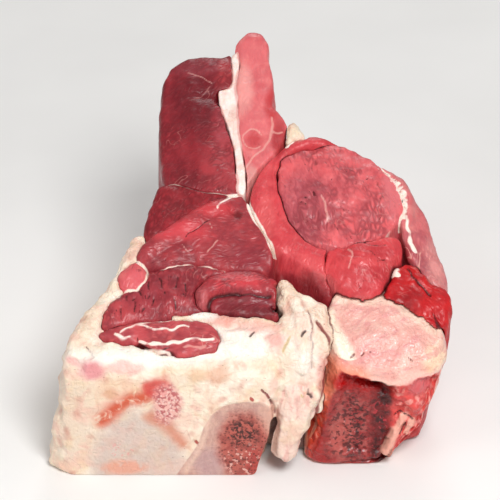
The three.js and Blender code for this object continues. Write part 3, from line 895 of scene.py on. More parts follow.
# %% Lower muscle
LOWER_NICKS = [(-48.8, 28.3), (-45.3, 26.4), (-41.7, 22.6), (-42, 25.4), (-40.6, 28.2), (-37, 30.8),
               (-36.5, 26.2), (-34.7, 24.2), (-32.9, 31.5), (-31.4, 27.5), (-29.8, 33), (-26.4, 31.7),
               (-24.4, 26.7), (-23.5, 29.6), (-46.9, 20.3), (-38.1, 21.5), (-27.8, 23.5)]
FAT_EDGE_LINE = [(-41.7, 16.1), (-37.6, 17.4), (-34, 18), (-28.8, 18), (-24.7, 18.8), (-21.6, 20)]
FAT_EDGE = Mark(ABOVE, FAT_EDGE_LINE, 0.35, 0.1, "white")
LOWER_EDGE = Tint((-49, 19, 57), (7, 8, 9), 0.7, "#cc5e62")
LOWER_LEFT = Tint((-40, 28, 61), (7, 7, 9), 0.5, "#a84a55")
lower_lean = lean_meat("rose_lower_meat", "#8f3440", "#b44850", "#ca5e63", drag=80, fibres=0.5, nicks=0.9,
                       known=[LOWER_EDGE, LOWER_LEFT])
lower_marks = {"edge of fat": FAT_EDGE}
for k, (x, y) in enumerate(LOWER_NICKS):
    length = 0.5 + 0.7 * (k % 3)
    lean = 0.9 - 0.6 * (k % 4)
    lower_marks[f"nick {k}"] = Mark(ABOVE, [(x, y + length), (x + lean, y - length)], 0.5, 0.6, "dark")
make_piece("lower_muscle", lower_lean, [(0.8, 9), (0.5, 4), (0.15, 1.6)], marks=lower_marks)

# %% [markdown]
# The round muscle on the right is mauve on its left and salmon above and to the right, where a smooth
# rim runs along it. Its bundles are coarser than the others', so they are drawn wider.

# %% Round muscle
EYE_BUNDLE_MM = 1.9
EYE_LEFT = Tint((20, 60, 78), (10, 18, 12), 0.75, "#ae5a65")
EYE_TOP = Tint((33, 79, 84), (14, 7, 9), 0.6, "#db6a6e")
EYE_RIGHT = Tint((45, 60, 78), (8, 13, 12), 0.6, "#df7074")
EYE_RIM_RIGHT = Tint((53, 66, 80), (4, 11, 9), 0.8, "#df8589")
EYE_RIM_TOP = Tint((38, 78, 84), (13, 4.4, 9), 0.7, "#e4797d")
round_lean = lean_meat("round_eye_meat", "#b65660", "#e57276", "#f28d8f", drag=105, fibres=0.65, marbling=0.2,
                       nicks=0.9, known=[EYE_LEFT, EYE_TOP, EYE_RIGHT], smooth=[EYE_RIM_RIGHT, EYE_RIM_TOP],
                       bundle_mm=EYE_BUNDLE_MM)
EYE_WHITE_LINE = [(47, 75.4), (52.3, 71.4), (56, 66.6), (56.8, 60.7), (55.8, 55.6)]
EYE_RIM_LINE = [(47, 75), (52, 71), (55.8, 66.6), (56.6, 60.7), (55.6, 55)]
eye_marks = {
    "thread": Mark(ABOVE, [(27, 62), (28.5, 57), (29, 53)], 0.45, 0.1, "thread"),
    "membrane low on the right": Mark(ABOVE, [(56.6, 56), (54, 51.5), (50.5, 48)], 0.3, 0.1, "white"),
    "membrane round the rim": Mark(ABOVE, EYE_WHITE_LINE, 0.1, -0.3, "white"),
    "raised rim": Mark(ABOVE, EYE_RIM_LINE, 1.6, -0.7),
    "groove inside the rim": Mark(ABOVE, [(40, 71), (46, 66), (47, 58)], 1.0, 0.5),
    "groove on the left": Mark(ABOVE, [(19, 70), (24, 60), (24, 52)], 1.3, 0.6),
}
make_piece("eye_muscle", round_lean, [(1.3, 12), (0.6, 4.5), (0.2, 1.9)], marks=eye_marks)

# %% [markdown]
# The strip that lies in the fat is crossed lengthwise by two wandering bands of fat, and a gap has
# opened under its middle, painted black as the shadow in it. Noise would lay the bands anywhere, and
# these two are what the strip is known by, so each is a mark with a raised white line.

# %% Strip in the fat
UPPER_BAND_LINE = [(-47, 12.6), (-43, 15.2), (-40, 16.4), (-36.5, 15), (-34, 13.4), (-31, 14.6), (-28, 13.6),
                   (-25, 15.8), (-22, 15)]
LOWER_BAND_LINE = [(-40, 9.8), (-37, 8.2), (-34, 9), (-31, 7.6), (-28, 9.8), (-24, 8.8), (-20, 11.2),
                   (-16, 9.6), (-13, 10.4)]
GAP_LINE = [(-40.6, 11.5), (-40, 8.2), (-36.5, 6.2), (-33, 6), (-29, 7.2)]
strip_lean = lean_meat("marbled_strip_meat", "#a4434d", "#cd5f64", "#e07b79", fibres=0.4, marbling=0.5)
strip_marks = {
    "upper band of fat": Mark(ABOVE, UPPER_BAND_LINE, 0.3, -0.4, "white"),
    "lower band of fat": Mark(ABOVE, LOWER_BAND_LINE, 0.45, -0.5, "white"),
    "short band of fat": Mark(ABOVE, [(-49, 12.5), (-46, 10.8), (-43, 11.3)], 0.3, -0.2, "white"),
    "thread": Mark(ABOVE, [(-24, 7), (-21.5, 8), (-19, 6.8), (-16, 7.8)], 0.4, 0.1, "thread"),
    "upper side of the gap": Mark(ABOVE, GAP_LINE, 0.4, 0.6, "dark"),
    "edge of fat": FAT_EDGE,
    "fat in the gap": Mark(ABOVE, [(-40, 7), (-37, 6.2), (-33, 6.4), (-29, 5.4)], 0.4, -0.3, "white"),
    "gap": Mark(ABOVE, [(-41, 8.6), (-36.7, 6.4), (-31.8, 5.8), (-27, 5.2)], 0.8, 1.2, "dark"),
}
make_piece("strip_in_fat", strip_lean, [(0.6, 7), (0.4, 3), (0.14, 1.4)], marks=strip_marks)

# %% [markdown]
# The bright muscles are freshly cut and wetter, so their red is purer and lighter. The band that wraps
# the round muscle is smooth. It is painted lighter along its middle, partly its own paler pink and partly
# a painted highlight, and dark down its front wall as painted shadow. A flap is folded over at its upper
# end, with painted shadow in the crease under it.

# %% Wrapping muscle
# painted shadow down the front wall
WRAP_WALL_SHADOW = Tint((22, 34, 54.5), (14, 9, 9), 0.95, "#86222c")
WRAP_CORNER = Tint((13, 35, 57), (6, 8, 6.5), 0.85, "#a03640")
WRAP_SINEW = Tint((11.6, 34, 58), (1.6, 6, 4.6), 0.85, "#f2c4bb")
# lighter middle: partly its own paler pink, partly a painted highlight
WRAP_MIDDLE = Tint((6, 58, 75), (3, 12, 9), 0.5, "#e67c7b")
wrap_lean = lean_meat("bright_wrap_meat", "#c4464f", "#dd5b62", "#e77577", drag=60, fibres=0.16, marbling=0.2,
                      nicks=0.15, known=[WRAP_MIDDLE, WRAP_WALL_SHADOW, WRAP_CORNER, WRAP_SINEW])
WRAP_INNER_LINE = [(8.2, 77), (7.4, 70.7), (8.6, 62.9), (12, 53.9), (18.4, 45.6), (26.5, 41.4)]
wrap_marks = {
    "folded flap": Mark(ABOVE, [(12, 81), (17, 86), (24, 87), (30, 85)], 1.8, -1.0),
    "crease under the flap": Mark(ABOVE, [(13, 78.5), (17, 82), (22, 83.5)], 0.6, 0.9, "dark"),
    "membrane on the flap": Mark(ABOVE, [(14, 85), (17.5, 89)], 0.5, -0.4, "white"),
    "groove along the middle": Mark(ABOVE, WRAP_INNER_LINE, 0.9, 0.7),
}
make_piece("wrap_muscle", wrap_lean, [(1.3, 13), (0.4, 5), (0.1, 1.8)], marks=wrap_marks)

# %% [markdown]
# The lobe in front of it is a soft rounded end. Its rims are lifted a little less than usual, so that it
# keeps its swell, and a shallow groove, two cracks and a thread break up its face.

# %% Lobe
LOBE_LOW = Tint((40, 30, 62), (9, 4, 8), 0.5, "#d2555b")
lobe_lean = lean_meat("bright_lobe_meat", "#c1424a", "#dc575d", "#e77173", drag=110, fibres=0.2,
                      marbling=0.35, nicks=0.3, known=[LOBE_LOW])
lobe_marks = {
    "groove": Mark(ABOVE, [(30, 43), (36, 39), (42, 37)], 0.8, 0.7),
    "upper crack": Mark(ABOVE, [(40, 45), (45, 42.5), (50, 44)], 0.35, 0.5, "dark"),
    "lower crack": Mark(ABOVE, [(44, 40), (48, 37), (50, 38)], 0.3, 0.5, "dark"),
    "thread": Mark(ABOVE, [(36, 42), (38, 38), (36, 34)], 0.4, 0.1, "thread"),
}
make_piece("lobe_muscle", lobe_lean, [(1.2, 9), (0.6, 4), (0.14, 1.6)], closing=0.9,
           marks=lobe_marks)

# %% [markdown]
# The folded muscle curls over a hollow that is painted dark as its shade. Its back edge is a raised roll,
# its middle is pressed in and painted in shade, its front rim is painted in shadow, and a gap at its right
# end is painted black as shadow. A mark that is wide and deep gives the hollow, a wide one with a
# negative depth the roll, and narrow dark ones the creases between them.

# %% Folded muscle
# painted shade in the pressed-in middle, and painted shadow on the front rim
FOLD_HOLLOW_SHADE = Tint((0, 23.5, 59), (13, 4.6, 9), 0.85, "#8f3a45")
FOLD_RIM_SHADOW = Tint((-3, 20, 58), (13, 1.8, 7), 0.8, "#762a33")
FOLD_ROLL = Tint((-4, 31, 64), (14, 4, 8), 0.85, "#d8535b")
FOLD_END = Tint((10.5, 27, 60), (2.6, 4, 8), 0.8, "#b02a30")
FOLD_LEFT = Tint((-18, 26, 60), (2.4, 4.5, 6), 0.6, "#dd8688")
fold_lean = lean_meat("folded_meat", "#963741", "#b84a53", "#c95f63", drag=20, fibres=0.6, marbling=0.15,
                      known=[FOLD_ROLL, FOLD_HOLLOW_SHADE, FOLD_RIM_SHADOW, FOLD_END, FOLD_LEFT])
FOLD_ROLL_LINE = [(-17, 27.5), (-12, 31.8), (-3, 32.8), (7, 31), (11, 28)]
FOLD_CREASE_LINE = [(-15.4, 22.3), (-14.3, 25.4), (-9.2, 26.8), (-4.1, 26.1)]
fold_marks = {
    "hollow": Mark(ABOVE, [(-12, 24), (-2, 23.6), (8, 23.2)], 2.8, 1.8),
    "roll": Mark(ABOVE, FOLD_ROLL_LINE, 3.0, -1.5),
    "crease under the roll": Mark(ABOVE, FOLD_CREASE_LINE, 0.9, 1.8, "dark"),
    "its thinner end": Mark(ABOVE, [(-4.1, 26.1), (3.8, 25.1), (8, 25.6)], 0.5, 0.9, "dark"),
    "upper lip on the left": Mark(ABOVE, [(-19, 28.4), (-16.6, 26.6)], 0.8, -0.5),
    "lower lip on the left": Mark(ABOVE, [(-19.6, 25), (-16.8, 24)], 0.8, -0.5),
    "gap on the right": Mark(ABOVE, [(10.9, 30), (12.4, 26), (12.8, 21.5)], 1.9, 4.5, "dark"),
    "foot of the gap": Mark(ABOVE, [(8.4, 21.4), (12.5, 21.2)], 1.0, 3.0, "dark"),
}
make_piece("fold_muscle", fold_lean, [(0.8, 8), (0.5, 3.6), (0.16, 1.5)], marks=fold_marks)

# %% [markdown]
# The trimming is a loose bright edge of meat above the knuckle, the reddest of all. It hangs free, so
# its rims stay round and low, and it has stronger lumps than the muscles.

# %% Trimming
TRIM_SHEEN = Tint((67, 27, 50), (5, 6, 8), 0.4, "#e58f8a")
TRIM_DEEP = Tint((57, 25, 55), (6, 5, 8), 0.7, "#a02a33")
trim_lean = lean_meat("bright_trimming", "#aa1c25", "#ca252d", "#dd3d3c", drag=140, fibres=0.2, marbling=0.3,
                      known=[TRIM_DEEP, TRIM_SHEEN])
trim_marks = {
    "nib of fat": Mark(ABOVE, [(52.6, 38), (54.4, 37), (53.6, 34.4)], 1.3, -0.8, "white"),
    "long crack": Mark(ABOVE, [(58, 38), (60, 32), (66, 27)], 0.8, 0.9, "dark"),
    "swell": Mark(ABOVE, [(52, 31), (56, 29), (62, 23)], 1.6, -0.9),
}
make_piece("trimming", trim_lean, [(1.3, 8), (0.7, 3.6), (0.16, 1.5)], closing=0.4,
           marks=trim_marks)

# %% [markdown]
# The pale muscles are thin and close to sinew, so they are salmon pink and smooth. The long strip
# carries a red knot in a ring of white, and a white thread that forks beside it. The ring is open on its
# right, so its places come from part of a circle. Near the white membrane the meat is almost as pale as
# fat, and its right edge is red.

# %% Long strip
KNOT = (1.2, 89.5)
KNOT_RADIUS = 3.8
turns = np.linspace(math.radians(30), math.radians(310), 14)
knot_ring = [(KNOT[0] + KNOT_RADIUS * math.cos(turn), KNOT[1] + KNOT_RADIUS * math.sin(turn))
             for turn in turns]
FORK_LINE = [(8.3, 98), (8.4, 92), (6.3, 86.5), (2.5, 83), (0.5, 81), (-1.7, 77.2)]
STRIP_KNOT = Tint((*KNOT, 89), (3.6, 3.6, 6), 0.7, "#c9494f")
STRIP_EDGE = Tint((8.5, 104, 96), (2.6, 9, 10), 0.8, "#cb474c")
STRIP_RED_FOOT = Tint((11, 90, 90), (3, 8, 10), 0.8, "#b83c43")
STRIP_BLUSH = Tint((-3, 111, 101), (4, 14, 9), 0.75, "#f3b3ad")
STRIP_NODE = Tint((0, 74, 82), (4, 5, 8), 0.8, "#eab5ae")
pale_lean = lean_meat("pale_strip_meat", "#d96f74", "#e68386", "#f09c9a", drag=85, fibres=0.12, marbling=0.1,
                      nicks=0.1, known=[STRIP_BLUSH, STRIP_EDGE, STRIP_RED_FOOT, STRIP_KNOT, STRIP_NODE])
long_strip_marks = {
    "ring round the knot": Mark(ABOVE, knot_ring, 0.4, 0.2, "thread"),
    "forked thread": Mark(ABOVE, FORK_LINE, 0.5, 0.1, "thread"),
    "branch of the thread": Mark(ABOVE, [(8.2, 93), (10, 91.5), (12.5, 92)], 0.4, 0.1, "thread"),
}
make_piece("long_strip", pale_lean, [(1.1, 12), (0.5, 5), (0.08, 1.8)], marks=long_strip_marks)

# %% [markdown]
# The small muscle at the left edge is as pale and quite plain. The slip down the right side is streaked
# with white, and a red lump sits where two branches of membrane meet on it.

# %% Edge and flank
edge_lean = lean_meat("pale_edge_meat", "#cf5d64", "#e0747a", "#ea908c", drag=85, fibres=0.16, marbling=0.1)
make_piece("edge_muscle", edge_lean, [(0.6, 7), (0.4, 3.4), (0.08, 1.6)])
FLANK_LUMP = Tint((58.5, 46, 66), (3, 4, 6), 0.85, "#a93a42")
FLANK_EDGE = Tint((68, 45, 60), (4, 16, 12), 0.6, "#e9b1ac")
FLANK_MAUVE = Tint((62.5, 39, 64), (3.4, 7, 7), 0.6, "#aa5f69")
flank_lean = lean_meat("pale_flank_meat", "#bf6670", "#da8082", "#e8a09b", drag=95, fibres=0.3, marbling=0.8,
                       nicks=0.2, known=[FLANK_EDGE, FLANK_MAUVE, FLANK_LUMP])
FLANK_WHITE_LINE = [(49, 75.6), (54, 71.5), (57.6, 66.8), (58.2, 60.7), (57.2, 55.6)]
FLANK_RIM_LINE = [(49, 76.5), (55, 72.5), (58.8, 67.5), (59.6, 60.7), (58.4, 55)]
flank_marks = {
    "lower membrane": Mark(ABOVE, [(57.6, 57), (58.6, 52), (59, 48), (61, 44)], 0.5, -0.3, "white"),
    "upper membrane": Mark(ABOVE, FLANK_WHITE_LINE, 0.6, -0.2, "white"),
    "raised rim": Mark(ABOVE, FLANK_RIM_LINE, 1.9, -1.5),
    "lump": Mark(ABOVE, [(57.5, 50), (58.5, 44)], 2.0, -0.9),
}
make_piece("flank_muscle", flank_lean, [(1.0, 11), (0.5, 4.5), (0.1, 1.7)], marks=flank_marks)

# %% [markdown]
# The bead of fat and the thick white membrane are pieces of their own. The membrane thins towards both
# edges and lets the meat's pink through there.

# %% Fat bead and membrane
bead_fat = fat_tissue("bead_fat", "#efdcc4", "#f8ecd8", "#d2935f", 0.4)
make_piece("fat_bead", bead_fat, [(0.6, 6), (0.5, 3), (0.15, 1.5)], closing=0.6)
MEMBRANE_RELIEF_MM = 0.12
MEMBRANE_ROUGHNESS = 0.4
white_membrane = blank("thick_white_membrane")
membrane_glazes, membrane_relief = fat_glazes(white_membrane, "#f0c0b4", 0.3)
streaked = patches(white_membrane, 3, 0.45, 0.62, place(white_membrane, (1, 2.5, 2)), warp=0.5)
membrane_colour = paint(white_membrane, "#fbeee6", [
    (streaked, 0.4, "#f3cfc4"),
    *membrane_glazes,
    (carried(white_membrane, "edge_mm", 0.4, 1.1), 0.6, "#dd8480"),
])
finish(white_membrane, membrane_colour, membrane_relief, MEMBRANE_RELIEF_MM, MEMBRANE_ROUGHNESS, WAXY_TISSUE)
make_piece("fascia_plate", white_membrane, [(0.4, 8), (0.3, 3)])

# %% [markdown]
# The front of the left block was cut with a saw, straight through bone, gristle and the fat over them,
# so it is one flat face. The solids stand at slightly different depths there. Every vertex of that face
# goes to one plane, and a few rounds of relaxing, where each vertex moves towards the middle of its
# neighbours, take out the step that is left round it.

# %% Sawing the front flat
SAWN_LOW = np.array([-66.0, -5.0, -5.0])
SAWN_HIGH = np.array([8.0, 3.6, 43.0])
SAWN_FADE = 3.0
SAWN_PLANE = -0.4
SAW_WAVE = 0.2
SAW_WAVE_SIZE = 6
RELAX_ROUNDS = 14
RELAX_SHARE = 0.5
RELAX_BELOW = 2
RELAX_BEYOND = np.array([2, 3, 4])


def relaxed(mesh, points, share, rounds):
    """Moves each vertex towards the middle of its neighbours, by its own share."""
    ends = np.empty(2 * len(mesh.edges), np.int32)
    mesh.edges.foreach_get("vertices", ends)
    one, other = np.concatenate([ends.reshape(-1, 2), ends.reshape(-1, 2)[:, ::-1]]).T
    count = np.bincount(one, minlength=len(points))
    for _ in range(rounds):
        middle = [np.bincount(one, points[other, axis], len(points)) / count for axis in range(3)]
        points = points + share[:, None] * (np.stack(middle, axis=1) - points)
    return points


def in_span(plan, low, high, fade):
    """1 inside a box of the plan, falling to 0 over the fade outside it."""
    outside = np.maximum(low - plan, plan - high).max(1)
    return 1 - smoothstep(outside, 0.0, fade)


block = meshes["bone_and_fat"]
block_points = points_of(block)
block_plan = block_points - PLAN_ORIGIN
sawn = in_span(block_plan, SAWN_LOW, SAWN_HIGH, SAWN_FADE)
sawn_depth = PLAN_ORIGIN[1] + SAWN_PLANE + SAW_WAVE * gradient_noise(block_points / SAW_WAVE_SIZE, 41)
block_points[:, 1] += sawn * (sawn_depth - block_points[:, 1])
around = in_span(block_plan, SAWN_LOW - RELAX_BELOW, SAWN_HIGH + RELAX_BEYOND, SAWN_FADE)
set_points(block, relaxed(block, block_points, RELAX_SHARE * around, RELAX_ROUNDS))
print("sawn flat:", int((sawn > 0.5).sum()), "vertices")

# %% [markdown]
# The front is one grown-together mass. Fat covers it, and the sawn joint block shows through: a
# grey-white heart of gristle, a vein of orange along its upper edge, and a red patch with a sponge of
# marrow beside it. The shaft's end is a pale rim round a core of marrow pores, almost black in its
# upper half. Marks carry the long stains, and a few uneven spots the round ones.

# %% Sawn bone colours
PORE_MM = 1.2
GRISTLE = ((-41, 1, 4), (17, 9, 24.5))
RED_PATCH = ((-33.6, 1, 39.3), (5, 8, 4.6))
SPONGE = ((-30.3, 1, 32), (4.8, 8, 8.4))
FOOT_STAIN = ((-46, 1, 3.8), (8, 8, 3.4))
FLECKS = ((-47, 1, 11), (4.5, 8, 5))
CORE = ((-2.2, 1, 13), (9.8, 9, 15.5))
CORE_BLACK = ((-2, 1, 19), (5.6, 9, 6.2))
CORE_RED = ((2.5, 1, 5), (4, 9, 7.5))
CORE_FOOT = ((-3, 1, 6), (8, 9, 8))
RIM_RIGHT = ((8, 1, 18), (4, 9, 16))
RIM_LOW = ((-15, 1, 5), (6, 9, 8))
bone_fat = blank("fat_over_sawn_bone")
bone_where = place(bone_fat)
pore_inputs = {"Vector": wavering(bone_fat, bone_where, 2.0, 0.5), "Scale": 1 / (PORE_MM * MM)}
pore_cells = add(bone_fat, "TexVoronoi", {"feature": "F1"}, pore_inputs).outputs["Distance"]
pores = add(bone_fat, "MapRange", EASED, {"Value": pore_cells, "From Min": 0.5, "From Max": 0.2}).outputs[0]
at_front = carried(bone_fat, "front_mm", 1.5, 4.0)
core = spot(bone_fat, *CORE, soft=0.24, waver_mm=1.8)
core_holes = patches(bone_fat, 1.9, 0.47, 0.56, bone_where, warp=1.0)
shaft_paint = paint(bone_fat, "#dab3a5", [
    (patches(bone_fat, 2.4, 0.42, 0.62, place(bone_fat, (1, 1, 3)), warp=0.6), 0.6, "#c2978f"),
    (spot(bone_fat, *RIM_RIGHT), 0.7, "#e4b7a5"),
    (spot(bone_fat, *RIM_LOW), 0.6, "#c6a6a8"),
    (core, 0.95, "#c26558"),
    ((core, patches(bone_fat, 3, 0.46, 0.6, bone_where)), 0.6, "#a04c44"),
    ((core, spot(bone_fat, *CORE_RED)), 0.6, "#b83a35"),
    ((core, pores), 0.7, "#5a211d"),
    ((core, core_holes, spot(bone_fat, *CORE_BLACK)), 0.85, "#2a0d0d"),
    ((core, patches(bone_fat, 1.6, 0.56, 0.64, bone_where), spot(bone_fat, *CORE_FOOT)), 0.8, "#f0c4b8"),
    (carried(bone_fat, "ridge", 0.0, 2.4), 0.6, "#f4d6c4"),
])
print("shaft end painted")

# %% [markdown]
# The fat round it takes its stains the same way. A pink blush shows high on the left with a paler tail,
# two tan patches above the shaft, and a thread of old yellow fat lies near the ligament. On the left the
# fat is a greyer cream. The recess beside the shaft and the gap beside the fold are painted dark as
# shadow.

# %% Tinted places in the fat
BLUSH = Tint((-57, 1, 46), (5, 6, 3.6), 0.8, "#e18a93")
BLUSH_TAIL = Tint((-45.5, 1, 46.8), (7, 6, 1.8), 0.6, "#efb5af")
BLUSH_CORNER = Tint((-64, 1, 48.5), (2.6, 6, 1.6), 0.6, "#e9a4a2")
LEFT_GREY = Tint((-64, 1, 24), (7, 12, 18), 0.75, "#ecd8c5")
PEACH_TOP = Tint((-46, 1, 39.5), (10, 5, 4.5), 0.6, "#f3cfb4")
CREAM_MIDDLE = Tint((-20.5, 1, 30), (6, 5, 12), 0.8, "#f9ecd9")
CREAM_TOP = Tint((-12, 11, 51), (30, 7, 5), 0.8, "#fff6e8")
TAN_SPOT = Tint((-50.5, 1, 36.8), (3.4, 5, 2.6), 0.6, "#e0a585")
TAN_LEFT = Tint((-18.5, 1, 44), (4, 5, 2.6), 0.5, "#dfb288")
TAN_RIGHT = Tint((-11, 1, 44), (4.4, 5, 2.8), 0.55, "#e0a98c")
LOW_CORNER = Tint((-66, 1, 2), (5, 6, 4), 0.7, "#f7dfc3")
PINK_RIGHT = Tint((9, 9.5, 52), (3.6, 3.6, 4), 0.6, "#e59086")
STREAK_PINK = Tint((-10, 19, 56), (7, 2.6, 6), 0.6, "#e79089")
FOLD_PINK = Tint((3, 14.6, 55), (10, 2.4, 4), 0.5, "#eeaca3")
WHITE_BAND = Tint((-38, 3.6, 50), (28, 4.4, 3.8), 0.8, "#fffaf0")
LIGAMENT_WHITE = Tint((20, 9, 46), (7, 10, 9), 0.6, "#fff5ec")
LIGAMENT_PINK = Tint((17.5, 2, 32), (5, 8, 7), 0.5, "#efb7ab")
LIGAMENT_ROSE = Tint((26.5, 3, 42), (2.6, 6, 7), 0.6, "#df8f88")
# painted shadow in the recess beside the shaft and in the gap beside the fold
RECESS_SHADOW = Tint((15, 18, 14), (12, 11, 20), 0.9, "#5b1f1c")
FOLD_GAP_SHADOW = Tint((10.5, 21.5, 52), (2.4, 4.4, 5.6), 0.95, "#3a0f10")
WHITE_NIB = Tint((-17.5, 20.5, 57), (6, 3, 4), 0.8, "#fffaf2")
fat_places = (CREAM_TOP, LEFT_GREY, PEACH_TOP, CREAM_MIDDLE, LOW_CORNER)
# the stains, and the painted shadow in the gap beside the fold among them
fat_stains_and_gap_shadow = (WHITE_BAND, BLUSH, BLUSH_TAIL, BLUSH_CORNER, TAN_SPOT, TAN_LEFT, TAN_RIGHT, PINK_RIGHT,
              STREAK_PINK, FOLD_PINK, WHITE_NIB, LIGAMENT_WHITE, LIGAMENT_PINK, LIGAMENT_ROSE, FOLD_GAP_SHADOW)
print(len(fat_places) + len(fat_stains_and_gap_shadow), "tinted places in the fat")

# %% [markdown]
# Paint goes over the fat from the broad to the fine: gristle, stains, the orange vein, the red patch and
# the sponge of marrow, then the shaft's end, the painted shadow in the recess and the tendon with the
# painted shade down its left side, and last the thin threads and nicks. How far forward a place lies
# keeps the sawn colours on the sawn face.

# %% Fat over the bone
bone_glazes, bone_relief = fat_glazes(bone_fat, "#e0a884", 0.3)
gristle = spot(bone_fat, *GRISTLE, soft=0.24, waver_mm=2.5)
sponge = spot(bone_fat, *SPONGE, soft=0.35, waver_mm=2.5)
sponge_net = patches(bone_fat, 1.7, 0.44, 0.58, bone_where, warp=0.4)
uneven = patches(bone_fat, 4, 0.22, 0.46, bone_where, warp=1.0)
bone_colour = paint(bone_fat, "#f4e0cb", [
    (patches(bone_fat, 11, 0.42, 0.62, bone_where), 1.0, "#fbeede"),
    *tints(bone_fat, fat_places),
    ((gristle, at_front), 0.95, "#dccac0"),
    *bone_glazes,
    (spot(bone_fat, CREAM_TOP.centre, CREAM_TOP.half), 0.65, "#fffcf4"),
    *tints(bone_fat, fat_stains_and_gap_shadow),
    ((gristle, at_front), 0.5, "#dfcdc3"),
    ((spot(bone_fat, *FOOT_STAIN), at_front, uneven), 0.7, "#eda58a"),
    ((spot(bone_fat, *FLECKS), patches(bone_fat, 1.6, 0.56, 0.64, bone_where), at_front), 0.6, "#e9a59c"),
    ((carried(bone_fat, "tan", 0.0, 1.9), at_front, uneven), 0.75, "#d9886a"),
    ((carried(bone_fat, "orange", 0.1, 1.7), at_front, uneven), 0.95, "#d95f3a"),
    ((spot(bone_fat, *RED_PATCH), at_front), 0.9, "#d95650"),
    ((sponge, at_front), 0.8, "#eeb4ae"),
    ((sponge, at_front, sponge_net), 0.75, "#b84650"),
    ((sponge, at_front, pores), 0.6, "#fae3da"),
    (carried(bone_fat, "red", 0.6, 1.3), 0.9, "#b03a30"),
    (carried(bone_fat, "shaft_mm", 0.7, 1.3), 1.0, shaft_paint),
    # painted shadow in the recess beside the shaft
    *tints(bone_fat, (RECESS_SHADOW,)),
    (carried(bone_fat, "sinew_mm", 0.4, 1.2), 0.9, "#f6dccf"),
    ((carried(bone_fat, "sinew_mm", 0.4, 1.2), patches(bone_fat, 3, 0.5, 0.66, place(bone_fat, (1, 1, 4)))),
     0.6, "#e3aaa0"),
    # painted shade down the tendon's left side
    ((carried(bone_fat, "sinew_mm", 0.4, 1.2), carried(bone_fat, "brown", 0.5, 1.6)), 0.8, "#b58a78"),
    (carried(bone_fat, "yellow", 0.4, 1.4), 0.6, "#cfb26c"),
    (carried(bone_fat, "blood", 0.6, 1.4), 0.85, "#8c1f22"),
    (carried(bone_fat, "nick", 0.3, 1.3), 0.9, "#3c1512"),
])
finish(bone_fat, bone_colour, bone_relief, FAT_RELIEF_MM, FAT_ROUGHNESS, WAXY_TISSUE, WET_FAT)
print("front of the block painted")

# %% [markdown]
# Marks carry the stains and nicks of the sawn face, and a painted shade down the left side of the
# tendon. Most are seen from the front, and a mark with no depth only brings its stain or shade to the
# material. A ridge is the pale rim round the shaft's end.

# %% Stains and painted shade on the sawn face
SHAFT_RIM_LINE = [(-23.4, 2.3), (-18.4, 12), (-15.8, 20), (-15, 27), (-12, 31), (-7, 34), (2, 34), (7.6, 31)]
ORANGE_VEIN_LINE = [(-53.6, 24.8), (-49, 30), (-43.6, 33.8), (-38, 35.2), (-34.5, 38)]
stain_and_shade_marks = {
    "orange vein": Mark(FRONT, ORANGE_VEIN_LINE, 3.2, 0.0, "orange"),
    "tan vein": Mark(FRONT, [(-36.2, 26), (-31.5, 23.5), (-28, 19.5), (-24.5, 14.5)], 2.4, 0.0, "tan"),
    "red fleck by the shaft": Mark(FRONT, [(-19.5, 15.4), (-18.6, 14.6)], 0.7, 0.4, "red"),
    "bloody nick": Mark(FRONT, [(4.4, 38.2), (5.4, 36.4), (7, 34.4)], 0.5, 0.7, "blood"),
    "red fleck above the shaft": Mark(FRONT, [(0.3, 34.6), (0.9, 34.2)], 0.6, 0.3, "red"),
    "left nick": Mark(FRONT, [(-42.4, 19.6), (-41.6, 18.4)], 0.35, 0.4, "dark"),
    "middle nick": Mark(FRONT, [(-32.3, 14), (-31.7, 13.6)], 0.35, 0.4, "dark"),
    "low nick": Mark(FRONT, [(-28.3, 8), (-27.8, 7.7)], 0.35, 0.4, "dark"),
    "rim of the shaft": Mark(FRONT, SHAFT_RIM_LINE, 0.9, -0.6, "ridge"),
    # a painted shade down the tendon's left side
    "shade down the tendon's left side": Mark(FRONT, [(8.4, 9), (9.7, 18), (11.2, 27)], 1.2, 0.3, "brown"),
}
print(len(stain_and_shade_marks), "stains and nicks")

# %% [markdown]
# The relief is calmed on the sawn face. The ligament is the other way round: its strands stand out as
# ridges with dark nicks between them, and the fat beside it is full of folds.

# %% Bone and fat
SAWN_CALM = 0.25
FAT_FOLDS = (0.9, 4.2)
BLOODY_SPLIT_LINE = [(29.7, 49.1), (28.9, 45.6), (27.4, 38.5), (26.4, 33.8), (23.9, 26.2), (19.9, 16.2)]
ligament_marks = {
    "right strand above": Mark(ABOVE, [(17, 24), (20, 17), (24, 12), (27.5, 8), (28, 2)], 1.5, -1.5),
    "right strand in front": Mark(FRONT, [(26, 47), (25, 42), (22.5, 33), (18, 22)], 1.7, -1.2),
    "left strand": Mark(ABOVE, [(13, 28), (16, 20), (18, 10), (19, 0)], 1.6, -1.2),
    "crack between the strands": Mark(ABOVE, [(21, 20), (22.5, 12), (22.5, 2)], 0.6, 1.0, "dark"),
    "groove between the strands": Mark(FRONT, [(22.5, 47), (21, 38), (17, 27)], 0.7, 1.0),
    "nick in front": Mark(FRONT, [(21.4, 37.2), (22, 35.6)], 0.5, 1.2, "nick"),
    "yellow thread in front": Mark(FRONT, [(18.6, 37), (19.2, 35.4)], 0.4, 0.5, "yellow"),
    "bloody split": Mark(FRONT, BLOODY_SPLIT_LINE, 0.9, 1.2, "blood"),
    "split above": Mark(ABOVE, [(24.3, 15.1), (26.4, 13.5), (27.8, 10.2), (29.6, 4.8)], 0.8, 1.0, "blood"),
    "nick above": Mark(ABOVE, [(20, 12), (19.3, 10.9), (19, 9.8)], 0.5, 1.0, "nick"),
}
